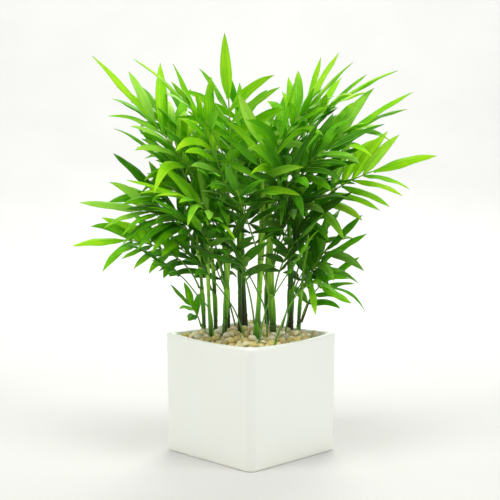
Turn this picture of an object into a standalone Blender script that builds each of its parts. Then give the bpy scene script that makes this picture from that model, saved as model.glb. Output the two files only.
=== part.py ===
"""Potted parlor palm: a clump of young palms in a white cube planter topped with small stones.

The planter stands square to X and Y with the middle of its base at the origin.
The plant is laid out on the planter's diagonals: u runs to the right corner,
v to the far corner, z up. Every size is in metres.
"""

import bisect
import itertools
import math
import random

import bmesh
import bpy
from mathutils import Matrix, Vector
from mathutils.bvhtree import BVHTree

# Planter
POT_SIDE = 0.150
POT_BASE_SIDE = 0.1475
POT_HEIGHT = 0.143
POT_WALL = 0.0073
POT_FLOOR = 0.009
POT_CORNER = 0.010
CAVITY_CORNER = 0.016
POT_EDGE = 0.0012
CORNER_STEPS = 3

# Soil and stones
GAP = 0.0003
SOIL_TOP = 0.120
CANE_DEPTH = 0.032
HOLE_SIDES = 6
HOLE_MARGIN = 0.0004
BORE_OVERRUN = 0.008
STONE_PITCH = 0.0162
STONE_EDGE_LEVEL = 0.1398
STONE_MOUND = 0.0064
STONE_RISE = 0.0042
STONE_INSET = 0.0027
STONE_CROWN = 0.0012
STONE_JITTER = 0.0011

# Canes
CANE_RING_PITCH = 0.040
CANE_RING_SWELL = 1.16
CANE_RING_STEP = 0.004
FIRST_RING = 0.75
FIRST_RING_STEP = 0.07
CANE_TIP_SCALE = 0.6
CANE_BOW = 0.002

# Midribs of the fronds, reaches and shares in parts of a frond's length
RACHIS_THICKNESS = 0.0022
RACHIS_HALF_WIDTH = 0.0011
RACHIS_END_SCALE = 0.75
RACHIS_SAMPLES = 48
ROOT_SPREAD = 0.22
ROOT_REACH = 0.38
TIP_REACH = 0.34
END_LEAF_SHARE = 0.55
BLADED_SHARE = 0.62
PETIOLE_STEPS = 3
BLADE_LEAN = 0.8

# Leaflets: lengths and widths, degrees from the midrib for the first and last pair,
# then places along a leaflet and fullness there
LEAF_THICKNESS = 0.0007
LEAF_PITCH = 0.0155
LEAF_FOOT = 0.0045
LEAF_WIDTH = 0.0138
WIDTH_LEAF = 0.075
LEAF_ANGLES = (64.0, 30.0)
LEAF_ANGLE_SPREAD = 5.0
LEAF_TAPER = 0.20
LEAF_LIFTS = (6.0, 20.0)
LEAF_DROOPS = (0.18, 0.50)
END_LEAF_DROOPS = (0.08, 0.16)
LEAF_LOUVRE = 20.0
LEAF_BELLY = (0.34, 1.0)
LEAF_SHOULDER = (0.70, 0.78)
LEAF_TIP = (1.0, 0.04)
LEAF_NECK = 0.3

# Room kept between blades, and the least of it where there is no more
CLEARANCE = 0.0008
TIGHT_CLEARANCE = 0.0004

# Each cane: foot (u, v), top (u, v, z), radius at the foot
CANES = [
    ((-0.057, 0.018), (-0.064, 0.012, 0.245), 0.0026),
    ((-0.047, 0.001), (-0.051, -0.004, 0.270), 0.0024),
    ((-0.034, -0.008), (-0.027, -0.012, 0.290), 0.0032),
    ((-0.006, 0.045), (-0.012, 0.050, 0.320), 0.0042),
    ((0.004, -0.026), (0.015, -0.028, 0.315), 0.0033),
    ((0.029, 0.012), (0.023, 0.008, 0.305), 0.0040),
    ((0.048, 0.032), (0.046, 0.034, 0.290), 0.0042),
    ((0.057, 0.014), (0.067, 0.012, 0.240), 0.0024),
    ((-0.028, 0.040), (-0.036, 0.046, 0.290), 0.0030),
    ((0.020, 0.058), (0.026, 0.064, 0.310), 0.0032),
    ((-0.014, 0.010), (-0.017, 0.004, 0.320), 0.0028),
    ((0.010, 0.028), (0.014, 0.024, 0.310), 0.0026),
    ((-0.043, 0.024), (-0.050, 0.030, 0.265), 0.0026),
]

# Dry petiole left on a cane by a fallen frond: cane, lean of the stub (u, v, z), radii
DRY_CANE = 7
DRY_LEAN = (0.010, -0.006, 0.030)
DRY_RADII = (0.0014, 0.0007)

# Each frond: cane, height where it leaves it, tip (u, v, z), droop of the tip, how far
# its upper face turns to the near side, pairs of leaflets, length of a middle leaflet
FRONDS = [
    # left side, top to bottom
    (2, 0.262, (-0.173, -0.020, 0.488), -0.15, 0.6, 5, 0.096),
    (10, 0.300, (-0.030, -0.034, 0.503), 0.00, 0.0, 4, 0.078),
    (12, 0.240, (-0.122, 0.030, 0.480), 0.05, 0.9, 6, 0.078),
    (10, 0.262, (-0.086, -0.040, 0.470), 0.10, 1.1, 5, 0.086),
    (8, 0.232, (-0.138, 0.046, 0.392), 0.30, 0.7, 6, 0.072),
    (0, 0.222, (-0.168, -0.005, 0.360), 0.35, 1.1, 6, 0.074),
    (1, 0.215, (-0.202, -0.025, 0.304), 0.45, 1.0, 6, 0.074),
    (0, 0.196, (-0.208, -0.030, 0.246), 0.95, 0.8, 6, 0.062),
    (0, 0.172, (-0.100, -0.008, 0.202), 0.40, 0.8, 2, 0.044),
    (12, 0.186, (-0.146, 0.056, 0.258), 0.60, 0.6, 5, 0.060),
    (2, 0.232, (-0.146, -0.075, 0.330), 0.50, 0.5, 6, 0.074),
    (1, 0.248, (-0.100, -0.062, 0.366), 0.40, 0.6, 5, 0.070),
    # right side, top to bottom
    (11, 0.292, (0.102, 0.006, 0.482), 0.20, 0.9, 5, 0.074),
    (9, 0.288, (0.084, 0.050, 0.478), 0.10, 0.7, 5, 0.072),
    (9, 0.262, (0.144, 0.050, 0.440), 0.75, 0.6, 6, 0.076),
    (5, 0.282, (0.184, -0.018, 0.446), 0.10, 0.7, 5, 0.092),
    (6, 0.240, (0.224, 0.012, 0.362), 0.35, 1.3, 6, 0.080),
    (5, 0.258, (0.158, -0.040, 0.390), 0.60, 0.9, 6, 0.076),
    (6, 0.222, (0.122, 0.008, 0.318), 0.10, 1.1, 5, 0.066),
    (7, 0.212, (0.132, -0.010, 0.290), 0.20, 1.0, 4, 0.060),
    (7, 0.192, (0.136, 0.004, 0.260), 0.25, 1.0, 4, 0.058),
    (7, 0.176, (0.136, 0.024, 0.232), 0.35, 0.9, 3, 0.054),
    (7, 0.162, (0.118, -0.016, 0.180), 1.40, 0.5, 1, 0.048),
    # middle and front
    (4, 0.302, (0.048, -0.048, 0.446), 0.10, 0.0, 4, 0.070),
    (4, 0.284, (0.008, -0.062, 0.438), 0.20, 0.0, 4, 0.062),
    (4, 0.262, (0.078, -0.096, 0.392), 0.50, 0.0, 6, 0.072),
    (5, 0.236, (0.104, -0.082, 0.342), 0.50, 0.4, 6, 0.072),
    (5, 0.196, (-0.026, -0.118, 0.362), 0.20, 0.0, 6, 0.056),
    (10, 0.240, (-0.088, -0.084, 0.400), 0.45, 0.3, 6, 0.068),
    (2, 0.206, (-0.112, -0.108, 0.310), 0.60, 0.2, 5, 0.062),
    (4, 0.168, (-0.050, -0.080, 0.322), 0.25, 0.0, 4, 0.056),
    (5, 0.170, (0.084, -0.064, 0.296), 0.35, 0.3, 4, 0.058),
    # far side
    (3, 0.300, (-0.014, 0.086, 0.448), 0.20, -0.2, 5, 0.076),
    (3, 0.270, (-0.050, 0.150, 0.420), 0.45, -0.3, 5, 0.074),
    (8, 0.266, (-0.098, 0.110, 0.442), 0.25, 0.0, 5, 0.076),
    (8, 0.204, (-0.112, 0.130, 0.336), 0.55, 0.0, 5, 0.068),
    (9, 0.240, (0.062, 0.160, 0.408), 0.45, -0.3, 5, 0.074),
    (9, 0.212, (0.116, 0.130, 0.340), 0.50, 0.0, 5, 0.070),
    (3, 0.232, (0.010, 0.172, 0.340), 0.60, -0.3, 5, 0.068),
    (6, 0.262, (0.134, 0.080, 0.420), 0.40, 0.4, 5, 0.074),
    (11, 0.262, (0.044, 0.100, 0.436), 0.25, 0.0, 5, 0.074),
    (6, 0.202, (0.128, 0.090, 0.284), 0.55, 0.3, 4, 0.060),
]

# Ways to bend a petiole clear: sideways bow as a share of the frond's length, tried
# at the nearest ring of the cane, then at the rings above and below it
BOWS = (0.0, 0.04, -0.04, 0.08, -0.08, 0.13, -0.13, 0.18, -0.18, 0.24, -0.24)
RING_SHIFTS = (0, 1, -1, 2, -2)
ROOT_TURN = 4.0

# Ways to bend a leaflet clear: degrees of swing in the frond's plane and of lift
# out of it, tried at each share of the full length in turn
LEAF_BENDS = (
    (0, 0), (0, 6), (0, -6), (5, 3), (-5, 3), (0, 12), (0, -12), (9, 6), (-9, 6), (9, -8),
    (-9, -8), (6, 16), (-6, 16), (6, -16), (-6, -16), (0, 24), (0, -24),
    (16, 18), (-16, 18), (16, -18), (-16, -18), (0, 38), (0, -38), (24, 30), (-20, 30),
    (24, -30), (-20, -30),
)
LEAF_LENGTHS = (1.0, 0.86, 0.72, 0.58, 0.44)

SURFACES = {
    "glazed_ceramic": ((0.83, 0.84, 0.81), 0.35),
    "potting_soil": ((0.05, 0.035, 0.025), 0.95),
    "pebble": ((0.68, 0.61, 0.44), 0.70),
    "cane": ((0.13, 0.22, 0.05), 0.55),
    "leaf": ((0.16, 0.42, 0.03), 0.50),
    "dry_leaf": ((0.20, 0.13, 0.06), 0.80),
}


def clear_scene():
    for item in list(bpy.data.objects):
        bpy.data.objects.remove(item, do_unlink=True)


def new_collection(name):
    collection = bpy.data.collections.new(name)
    bpy.context.scene.collection.children.link(collection)
    return collection


def make_surfaces():
    surfaces = {}
    for name, (colour, roughness) in SURFACES.items():
        surface = bpy.data.materials.new(name)
        surface.use_nodes = True
        shader = surface.node_tree.nodes["Principled BSDF"]
        shader.inputs["Base Color"].default_value = (*colour, 1.0)
        shader.inputs["Roughness"].default_value = roughness
        shader.inputs["Metallic"].default_value = 0.0
        surfaces[name] = surface
    return surfaces


def place(u, v, z):
    """A point given on the planter's diagonals, in world coordinates."""
    return Vector(((u - v) / math.sqrt(2), (u + v) / math.sqrt(2), z))


def object_from(bm, name, collection, surface=None):
    mesh = bpy.data.meshes.new(name)
    bm.to_mesh(mesh)
    bm.free()
    item = bpy.data.objects.new(name, mesh)
    collection.objects.link(item)
    if surface:
        mesh.materials.append(surface)
    return item


def rounded_block(low_side, high_side, low, high, corner):
    """A square block from low to high, with upright corners of the given radius."""
    bm = bmesh.new()
    bmesh.ops.create_cube(bm, size=1.0)
    upright = [e for e in bm.edges if abs(e.verts[0].co.z - e.verts[1].co.z) > 0.5]
    for vert in bm.verts:
        at_top = vert.co.z > 0
        side = high_side if at_top else low_side
        vert.co = Vector((vert.co.x * side, vert.co.y * side, high if at_top else low))
    bmesh.ops.bevel(bm, geom=upright, offset=corner, segments=CORNER_STEPS,
                    profile=0.5, affect="EDGES", clamp_overlap=True)
    return bm


def cavity_side(height, gap=0.0):
    """Width of the planter's inside at a height, less a gap all round."""
    share = height / POT_HEIGHT
    outside = POT_BASE_SIDE + (POT_SIDE - POT_BASE_SIDE) * share
    return outside - 2 * (POT_WALL + gap)


def cut(item, cutter, operation="DIFFERENCE"):
    """Apply one exact Boolean and remove its cutter."""
    modifier = item.modifiers.new("cut", "BOOLEAN")
    modifier.operation = operation
    modifier.solver = "EXACT"
    modifier.object = cutter
    bpy.context.view_layer.update()
    graph = bpy.context.evaluated_depsgraph_get()
    mesh = bpy.data.meshes.new_from_object(item.evaluated_get(graph))
    item.modifiers.clear()
    item.data = mesh
    bpy.data.objects.remove(cutter, do_unlink=True)


def soften_level_edges(item, levels):
    """Bevel the sharp edges that lie at the given heights: the base and the rim."""
    bm = bmesh.new()
    bm.from_mesh(item.data)
    rims = [
        edge for edge in bm.edges
        if edge.calc_face_angle(0.0) > math.radians(50)
        and any(all(abs(v.co.z - level) < GAP for v in edge.verts) for level in levels)
    ]
    bmesh.ops.bevel(bm, geom=rims, offset=POT_EDGE, segments=1, profile=0.5, affect="EDGES")
    bm.to_mesh(item.data)
    bm.free()


def make_pot(parts, cutters, surface):
    pot = object_from(rounded_block(POT_BASE_SIDE, POT_SIDE, 0.0, POT_HEIGHT, POT_CORNER),
                      "pot", parts, surface)
    over = POT_HEIGHT + POT_WALL
    cavity = rounded_block(cavity_side(POT_FLOOR), cavity_side(over), POT_FLOOR, over,
                           CAVITY_CORNER)
    cut(pot, object_from(cavity, "pot_cavity", cutters))
    soften_level_edges(pot, (0.0, POT_HEIGHT))
    return pot


def cane_centre(cane, height):
    """Centre of a cane at a height: a lean from foot to top with a slight bow."""
    (foot_u, foot_v), (top_u, top_v, top_z), radius = CANES[cane]
    share = (height - SOIL_TOP) / (top_z - SOIL_TOP)
    bow = CANE_BOW * math.sin(math.pi * share) * (-1) ** cane
    u = foot_u + (top_u - foot_u) * share + bow
    v = foot_v + (top_v - foot_v) * share
    return place(u, v, height)


def cane_radius(cane, height):
    """Radius of a cane between its rings, thinner towards the top."""
    top_z, radius = CANES[cane][1][2], CANES[cane][2]
    share = max(0.0, (height - SOIL_TOP) / (top_z - SOIL_TOP))
    return radius * (1.0 - (1.0 - CANE_TIP_SCALE) * share)


def cane_rings(cane):
    """Heights of the rings on a cane, at even spacing from above the soil to its top."""
    low = SOIL_TOP + CANE_RING_PITCH * (FIRST_RING + FIRST_RING_STEP * (cane % 5))
    top = CANES[cane][1][2]
    count = round((top - low) / CANE_RING_PITCH)
    return [low + (top - low) * i / count for i in range(count + 1)]


def cane_stations(cane):
    """Heights and radii up a cane: each joint swells to a ring, then steps in."""
    foot = SOIL_TOP - CANE_DEPTH - BORE_OVERRUN + GAP
    stations = [(foot, cane_radius(cane, foot))]
    for ring in cane_rings(cane):
        radius = cane_radius(cane, ring)
        stations.append((ring, radius * CANE_RING_SWELL))
        stations.append((ring + CANE_RING_STEP, radius))
    return stations


def tube(name, stations, parts, surface):
    """A six-sided tube through stations, each a centre and a radius, with filled ends."""
    curve = bpy.data.curves.new(name, "CURVE")
    curve.dimensions = "3D"
    curve.bevel_depth = 1.0
    curve.bevel_resolution = 1
    curve.use_fill_caps = True
    spline = curve.splines.new("POLY")
    spline.points.add(len(stations) - 1)
    for point, (centre, radius) in zip(spline.points, stations):
        point.co = (*centre, 1.0)
        point.radius = radius
    curve.materials.append(surface)
    item = bpy.data.objects.new(name, curve)
    parts.objects.link(item)
    return item


def make_cane(cane, parts, surface):
    stations = [(cane_centre(cane, z), radius) for z, radius in cane_stations(cane)]
    return tube(f"cane_{cane + 1:02d}", stations, parts, surface)


def dry_petiole_ends():
    """Ends of the dry stub, from beside its cane's first ring to its withered tip."""
    ring = cane_rings(DRY_CANE)[0]
    outward = place(DRY_LEAN[0], DRY_LEAN[1], 0).normalized()
    reach = cane_radius(DRY_CANE, ring) * CANE_RING_SWELL + DRY_RADII[0] + GAP
    foot = cane_centre(DRY_CANE, ring) + outward * reach
    return foot, foot + place(*DRY_LEAN)


def make_dry_petiole(parts, surface):
    foot, tip = dry_petiole_ends()
    return tube("dry_petiole", list(zip((foot, tip), DRY_RADII)), parts, surface)


def cane_holes(low, high, cutters):
    """One cutter with an upright bore for each cane, wide enough from low to high."""
    bm = bmesh.new()
    middle, depth = (low + high) / 2, high - low + 2 * BORE_OVERRUN
    for cane, (foot, top, radius) in enumerate(CANES):
        centre = cane_centre(cane, middle)
        lean = (cane_centre(cane, high) - centre).xy.length
        hole = (radius * CANE_RING_SWELL + lean) / math.cos(math.pi / HOLE_SIDES) + HOLE_MARGIN
        stand = Matrix.Translation(centre) @ Matrix.Rotation(cane, 4, "Z")
        bmesh.ops.create_cone(bm, cap_ends=True, segments=HOLE_SIDES, radius1=hole,
                              radius2=hole, depth=depth, matrix=stand)
    return object_from(bm, "cane_holes", cutters)


def make_soil(parts, cutters, surface):
    floor = POT_FLOOR + GAP
    soil = object_from(
        rounded_block(cavity_side(floor, GAP), cavity_side(SOIL_TOP, GAP), floor, SOIL_TOP,
                      CAVITY_CORNER),
        "soil", parts, surface)
    cut(soil, cane_holes(SOIL_TOP - CANE_DEPTH, SOIL_TOP, cutters))
    return soil


def mound(point):
    """Level of the stone bed: highest over the clump, lower along the walls."""
    reach = max(abs(point.x), abs(point.y)) / (cavity_side(SOIL_TOP) / 2)
    return STONE_EDGE_LEVEL + STONE_MOUND * max(0.0, 1.0 - reach ** 2)


def make_stones(parts, cutters, surface):
    """The layer of stones as one bed: domed six-sided stones on a loose honeycomb."""
    draw = random.Random("stones")
    bm = bmesh.new()
    rows = math.ceil(POT_SIDE / STONE_PITCH / 2) + 1
    for row in range(-rows, rows + 1):
        for column in range(-rows, rows + 1):
            x = (column + 0.5 * (row % 2)) * STONE_PITCH
            y = row * STONE_PITCH * math.sqrt(3) / 2
            bmesh.ops.create_circle(bm, cap_ends=True, segments=6,
                                    radius=STONE_PITCH / math.sqrt(3),
                                    matrix=Matrix.Translation((x, y, 0)))
    bmesh.ops.remove_doubles(bm, verts=bm.verts, dist=STONE_PITCH / 20)
    for vert in bm.verts:
        vert.co.x += draw.uniform(-STONE_JITTER, STONE_JITTER)
        vert.co.y += draw.uniform(-STONE_JITTER, STONE_JITTER)
        vert.co.z = mound(vert.co) - STONE_RISE
    stones = list(bm.faces)
    bmesh.ops.inset_individual(bm, faces=stones, thickness=STONE_INSET, depth=STONE_RISE)
    crowns = bmesh.ops.poke(bm, faces=stones, offset=STONE_CROWN)["verts"]
    for crown in crowns:
        crown.co.z += draw.uniform(-STONE_CROWN, STONE_CROWN)
    skirt = bmesh.ops.extrude_face_region(bm, geom=list(bm.faces))["geom"]
    for item in skirt:
        if isinstance(item, bmesh.types.BMVert):
            item.co.z = 0.0
    bmesh.ops.recalc_face_normals(bm, faces=bm.faces)
    stones = object_from(bm, "stones", parts, surface)
    floor = SOIL_TOP + GAP
    inside = rounded_block(cavity_side(floor, GAP), cavity_side(POT_HEIGHT + 0.02, GAP), floor,
                           POT_HEIGHT + 0.02, CAVITY_CORNER)
    cut(stones, object_from(inside, "stone_bed_outline", cutters), "INTERSECT")
    cut(stones, cane_holes(floor, POT_HEIGHT, cutters))
    return stones


class Rachis:
    """The midrib of a frond: a curve from its cane to the start of its end leaflet."""

    def __init__(self, frond, bow, ring_shift):
        cane, height, tip, droop, facing, self.pairs, self.leaf = FRONDS[frond]
        target = place(*tip)
        foot, upward = self.ring_on(cane, height, ring_shift)
        outward = Vector((target.x - foot.x, target.y - foot.y, 0)).normalized()
        offset = cane_radius(cane, foot.z) * CANE_RING_SWELL + RACHIS_THICKNESS / 2 + GAP
        foot = foot + Matrix.Rotation(ROOT_TURN * bow, 3, "Z") @ outward * offset
        chord = target - foot
        sideways = Vector((-outward.y, outward.x, 0)) * bow * chord.length
        start = (upward + outward * ROOT_SPREAD).normalized() * ROOT_REACH * chord.length
        end = (chord.normalized() - Vector((0, 0, droop))).normalized()
        end = end * TIP_REACH * chord.length
        self.ends = (foot, foot + start + sideways, target - end + sideways, target)
        self.lean = Vector((0, 0, 1)) - outward * BLADE_LEAN + place(0, -facing, 0)
        self.measure()
        self.end_leaf = min(self.leaf, self.total * END_LEAF_SHARE)
        self.length = self.total - self.end_leaf
        self.pitch = min(LEAF_PITCH, BLADED_SHARE * self.length / self.pairs)
        self.first = self.length - self.pairs * self.pitch

    @staticmethod
    def ring_on(cane, height, ring_shift):
        """Centre and upward direction of a cane at the ring nearest to a height."""
        rings = cane_rings(cane)
        nearest = min(range(len(rings)), key=lambda ring: abs(rings[ring] - height))
        ring = rings[max(0, min(nearest + ring_shift, len(rings) - 1))]
        centre = cane_centre(cane, ring)
        return centre, (cane_centre(cane, ring + LEAF_PITCH) - centre).normalized()

    def measure(self):
        """Points along the curve and the distance to each."""
        self.points = [self.at(i / RACHIS_SAMPLES) for i in range(RACHIS_SAMPLES + 1)]
        self.distances = [0.0]
        for a, b in zip(self.points, self.points[1:]):
            self.distances.append(self.distances[-1] + (b - a).length)
        self.total = self.distances[-1]

    def at(self, t):
        a, b, c, d = self.ends
        s = 1.0 - t
        return a * s ** 3 + b * 3 * s * s * t + c * 3 * s * t * t + d * t ** 3

    def frame(self, distance):
        """Point, direction, side and upper face of the frond at a distance along it."""
        i = min(bisect.bisect_left(self.distances, distance, 1), RACHIS_SAMPLES) - 1
        a, b = self.points[i], self.points[i + 1]
        point = a.lerp(b, (distance - self.distances[i]) / (b - a).length)
        before, after = self.points[max(i - 1, 0)], self.points[min(i + 2, RACHIS_SAMPLES)]
        along = (after - before).normalized()
        face = (self.lean - along * self.lean.dot(along)).normalized()
        return point, along, along.cross(face), face

    def half_width(self, distance):
        return RACHIS_HALF_WIDTH * (1 - (1 - RACHIS_END_SCALE) * distance / self.length)

    def stations(self):
        """Distances of the cross lines: petiole steps, then two for each pair's foot."""
        marks = [self.first * i / PETIOLE_STEPS for i in range(PETIOLE_STEPS)]
        for pair in range(self.pairs):
            foot = self.first + pair * self.pitch
            marks += [foot, foot + LEAF_FOOT]
        return marks + [self.length]

    def rails(self):
        """Rows of (left, right, face, half thickness) of the midrib, one per station."""
        rails = []
        for mark in self.stations():
            point, along, side, face = self.frame(mark)
            reach = side * self.half_width(mark)
            rails.append((point - reach, point + reach, face, RACHIS_THICKNESS / 2))
        return rails


def slab(rows, margin=0.0):
    """Corners and faces of a closed strip round rows, grown all round by a margin."""
    verts = []
    for left, right, face, half in rows:
        across = (right - left).normalized() * margin
        rise = face * (half + margin)
        for edge in (left - across, right + across):
            verts += [edge + rise, edge - rise]
    faces = [(0, 1, 3, 2)]
    for row in range(len(rows) - 1):
        a = 4 * row
        faces += [(a, a + 4, a + 5, a + 1), (a + 2, a + 3, a + 7, a + 6),
                  (a, a + 2, a + 6, a + 4), (a + 1, a + 5, a + 7, a + 3)]
    last = 4 * (len(rows) - 1)
    faces.append((last, last + 2, last + 3, last + 1))
    return verts, faces


class Room:
    """What already stands in the plant, so that the next blade is bent clear of it."""

    def __init__(self):
        self.trees = []

    @staticmethod
    def box(verts):
        return [(min(v[i] for v in verts), max(v[i] for v in verts)) for i in range(3)]

    def add(self, solid, owner=None):
        verts, faces = solid
        self.trees.append((self.box(verts), BVHTree.FromPolygons(verts, faces), owner))

    def is_clear(self, solid, skip=None):
        verts, faces = solid
        box, tree = self.box(verts), None
        for other_box, other, owner in self.trees:
            if skip is not None and owner == skip:
                continue
            if any(a[0] > b[1] or b[0] > a[1] for a, b in zip(box, other_box)):
                continue
            tree = tree or BVHTree.FromPolygons(verts, faces)
            if tree.overlap(other):
                return False
        return True


def stem_slab(stations):
    """A square bar round an upright stem, as wide as the stem is at each station."""
    rows = []
    for centre, radius in stations:
        wide = Vector((radius, 0, 0))
        rows.append((centre - wide, centre + wide, Vector((0, 1, 0)), radius))
    return slab(rows)


def leaf_rows(foot, along, across, droop, length, width):
    """Rows of a leaflet, as of a midrib, from its foot on the midrib to its tip."""
    left, right = foot
    start = (left + right) / 2
    rows = []
    for share, fullness in (LEAF_BELLY, LEAF_SHOULDER, LEAF_TIP):
        centre = start + (along - Vector((0, 0, droop * share))).normalized() * length * share
        face = across.cross((centre - start).normalized())
        reach = across * width * fullness / 2
        rows.append((centre - reach, centre + reach, face, LEAF_THICKNESS / 2))
    return [(left, right, rows[0][2], RACHIS_THICKNESS / 2)] + rows


def leaflet_choices(rachis, pair, side, draw):
    """Each way to set one leaflet, in the order in which they are tried."""
    share = (pair + 0.5) / rachis.pairs
    angle = LEAF_ANGLES[0] + (LEAF_ANGLES[1] - LEAF_ANGLES[0]) * share
    angle += draw.uniform(-LEAF_ANGLE_SPREAD, LEAF_ANGLE_SPREAD)
    size = rachis.leaf * (1.0 - LEAF_TAPER * (2 * share - 1) ** 2) * draw.uniform(0.94, 1.06)
    width = LEAF_WIDTH * draw.uniform(0.9, 1.1) * math.sqrt(rachis.leaf / WIDTH_LEAF)
    lift, droop = draw.uniform(*LEAF_LIFTS), draw.uniform(*LEAF_DROOPS)
    near = rachis.first + pair * rachis.pitch
    feet = []
    for mark in (near, near + LEAF_FOOT):
        point, along, across, face = rachis.frame(mark)
        feet.append(point + across * side * rachis.half_width(mark))
    slant = face * math.tan(math.radians(LEAF_LOUVRE))
    for length in LEAF_LENGTHS:
        for swing, bend in LEAF_BENDS:
            turn = math.radians(angle + swing)
            rise = math.radians(lift + bend)
            flat = along * math.cos(turn) + across * side * math.sin(turn)
            ahead = (flat * math.cos(rise) + face * math.sin(rise)).normalized()
            wide = (along - ahead * along.dot(ahead)).normalized() - slant
            wide = (wide - ahead * wide.dot(ahead)).normalized()
            yield leaf_rows(feet, ahead, wide, droop, size * length, width)


def end_leaf_choices(rachis, draw):
    """Each way to set the leaflet that carries the midrib on to the frond's tip."""
    point, along, across, face = rachis.frame(rachis.length)
    reach = across * rachis.half_width(rachis.length)
    width = LEAF_WIDTH * draw.uniform(1.0, 1.2) * math.sqrt(rachis.leaf / WIDTH_LEAF)
    droop = draw.uniform(*END_LEAF_DROOPS)
    for length in LEAF_LENGTHS:
        for swing, bend in LEAF_BENDS:
            turn, rise = math.radians(swing), math.radians(bend / 2)
            flat = along * math.cos(turn) + across * math.sin(turn)
            ahead = (flat * math.cos(rise) + face * math.sin(rise)).normalized()
            wide = (across - ahead * across.dot(ahead)).normalized()
            yield leaf_rows((point - reach, point + reach), ahead, wide, droop,
                            rachis.end_leaf * length, width)


def plan_midribs(room):
    """Every frond's midrib, each bowed sideways until it clears what stands already."""
    midribs = []
    for frond in range(len(FRONDS)):
        cane = FRONDS[frond][0]
        for ring_shift, bow in itertools.product(RING_SHIFTS, BOWS):
            rachis = Rachis(frond, bow, ring_shift)
            rails = rachis.rails()
            root_clear = room.is_clear(slab(rails[:2], CLEARANCE), cane)
            if root_clear and room.is_clear(slab(rails[1:], CLEARANCE)):
                break
        else:
            print("no clear midrib", frond)
        room.add(slab(rails), ("midrib", frond))
        midribs.append(rachis)
    return midribs


def set_leaflet(room, frond, choices):
    """The first way to set a leaflet that clears everything, or None."""
    for margin, rows in itertools.product((CLEARANCE, TIGHT_CLEARANCE), choices):
        if not room.is_clear(slab(rows, margin), ("midrib", frond)):
            continue
        left, right, face = (a.lerp(b, LEAF_NECK) for a, b in zip(rows[0][:3], rows[1]))
        neck = (left, right, face, LEAF_THICKNESS)
        if room.is_clear(slab([neck] + rows[1:], margin)):
            room.add(slab(rows))
            return rows
    return None


def plan_leaflets(room, midribs):
    """The rows of every leaflet, frond by frond, as (pair, side, rows)."""
    plans = []
    for frond, rachis in enumerate(midribs):
        draw = random.Random(f"frond {frond}")
        plan = [(rachis.pairs, 0, set_leaflet(room, frond, end_leaf_choices(rachis, draw)))]
        for pair in range(rachis.pairs):
            for side in (-1, 1):
                seeded = random.Random(f"leaflet {frond} {pair} {side}")
                rows = set_leaflet(room, frond, leaflet_choices(rachis, pair, side, seeded))
                plan.append((pair, side, rows))
        plans.append(plan)
    return plans


def pull_edge(bm, edge, targets):
    """Extrude an edge and put the new end of each of its corners at its target."""
    corners = {vert: target for vert, target in zip(edge, targets)}
    made = bmesh.ops.extrude_edge_only(bm, edges=[bm.edges.get(edge)])["geom"]
    pair = {}
    for vert in made:
        if not isinstance(vert, bmesh.types.BMVert):
            continue
        for link in vert.link_edges:
            origin = link.other_vert(vert)
            if origin in corners:
                vert.co = corners[origin]
                pair[origin] = vert
    return tuple(pair[vert] for vert in edge)


def make_frond(frond, rachis, plan, parts, surface):
    """One frond as a thin sheet: a midrib strip with its leaflets drawn out of it."""
    rails = rachis.rails()
    bm = bmesh.new()
    bmesh.ops.create_grid(bm, x_segments=1, y_segments=len(rails) - 1, size=0.5)
    bm.verts.ensure_lookup_table()
    weights = bm.verts.layers.deform.verify()
    grid = [(bm.verts[2 * i], bm.verts[2 * i + 1]) for i in range(len(rails))]
    for (left, right), rail in zip(grid, rails):
        left.co, right.co = rail[:2]
    rail_verts = set(bm.verts)
    for pair, side, rows in plan:
        if rows is None:
            continue
        if side == 0:
            edge = grid[-1]
        else:
            station = PETIOLE_STEPS + 2 * pair
            edge = tuple(grid[station + i][0 if side < 0 else 1] for i in (0, 1))
        for row in rows[1:]:
            edge = pull_edge(bm, edge, row[:2])
        bmesh.ops.pointmerge(bm, verts=list(edge), merge_co=(edge[0].co + edge[1].co) / 2)
    bmesh.ops.triangulate(bm, faces=bm.faces)
    bmesh.ops.recalc_face_normals(bm, faces=bm.faces)
    for vert in bm.verts:
        thick = vert in rail_verts
        vert[weights][0] = 1.0 if thick else LEAF_THICKNESS / RACHIS_THICKNESS
    item = object_from(bm, f"frond_{frond + 1:02d}", parts, surface)
    item.vertex_groups.new(name="thickness")
    solidify = item.modifiers.new("thickness", "SOLIDIFY")
    solidify.thickness = RACHIS_THICKNESS
    solidify.offset = 0.0
    solidify.vertex_group = "thickness"
    solidify.use_even_offset = False
    return item


def build():
    clear_scene()
    parts = new_collection("potted_parlor_palm")
    cutters = new_collection("cutters")
    surfaces = make_surfaces()
    make_pot(parts, cutters, surfaces["glazed_ceramic"])
    make_soil(parts, cutters, surfaces["potting_soil"])
    make_stones(parts, cutters, surfaces["pebble"])
    room = Room()
    for cane in range(len(CANES)):
        make_cane(cane, parts, surfaces["cane"])
        stations = [(cane_centre(cane, z), radius) for z, radius in cane_stations(cane)]
        room.add(stem_slab(stations), cane)
    make_dry_petiole(parts, surfaces["dry_leaf"])
    room.add(stem_slab(list(zip(dry_petiole_ends(), (DRY_RADII[0], DRY_RADII[0])))))
    midribs = plan_midribs(room)
    plans = plan_leaflets(room, midribs)
    for frond, (rachis, plan) in enumerate(zip(midribs, plans)):
        make_frond(frond, rachis, plan, parts, surfaces["leaf"])
    missing = sum(rows is None for plan in plans for pair, side, rows in plan)
    print("fronds", len(plans), "leaflets", sum(len(plan) for plan in plans) - missing,
          "left out for want of room", missing)


build()
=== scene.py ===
# %% [markdown]
# # A potted parlor palm
#
# A clump of young palms stands in a white ceramic cube under a layer of small river
# stones. The solids of the part are already packed and fixed. This lesson dresses them:
# every solid gets a finer piece that keeps its place and form, with the veins, creases,
# rings, sheaths and glaze that make the plant look alive. Everything is in metres, with
# the middle of the planter's base at the origin and +Z up.

import bisect
import itertools
import math
import random

import bmesh
import bpy
import numpy as np
from mathutils import Matrix, Vector
from mathutils.kdtree import KDTree


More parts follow.
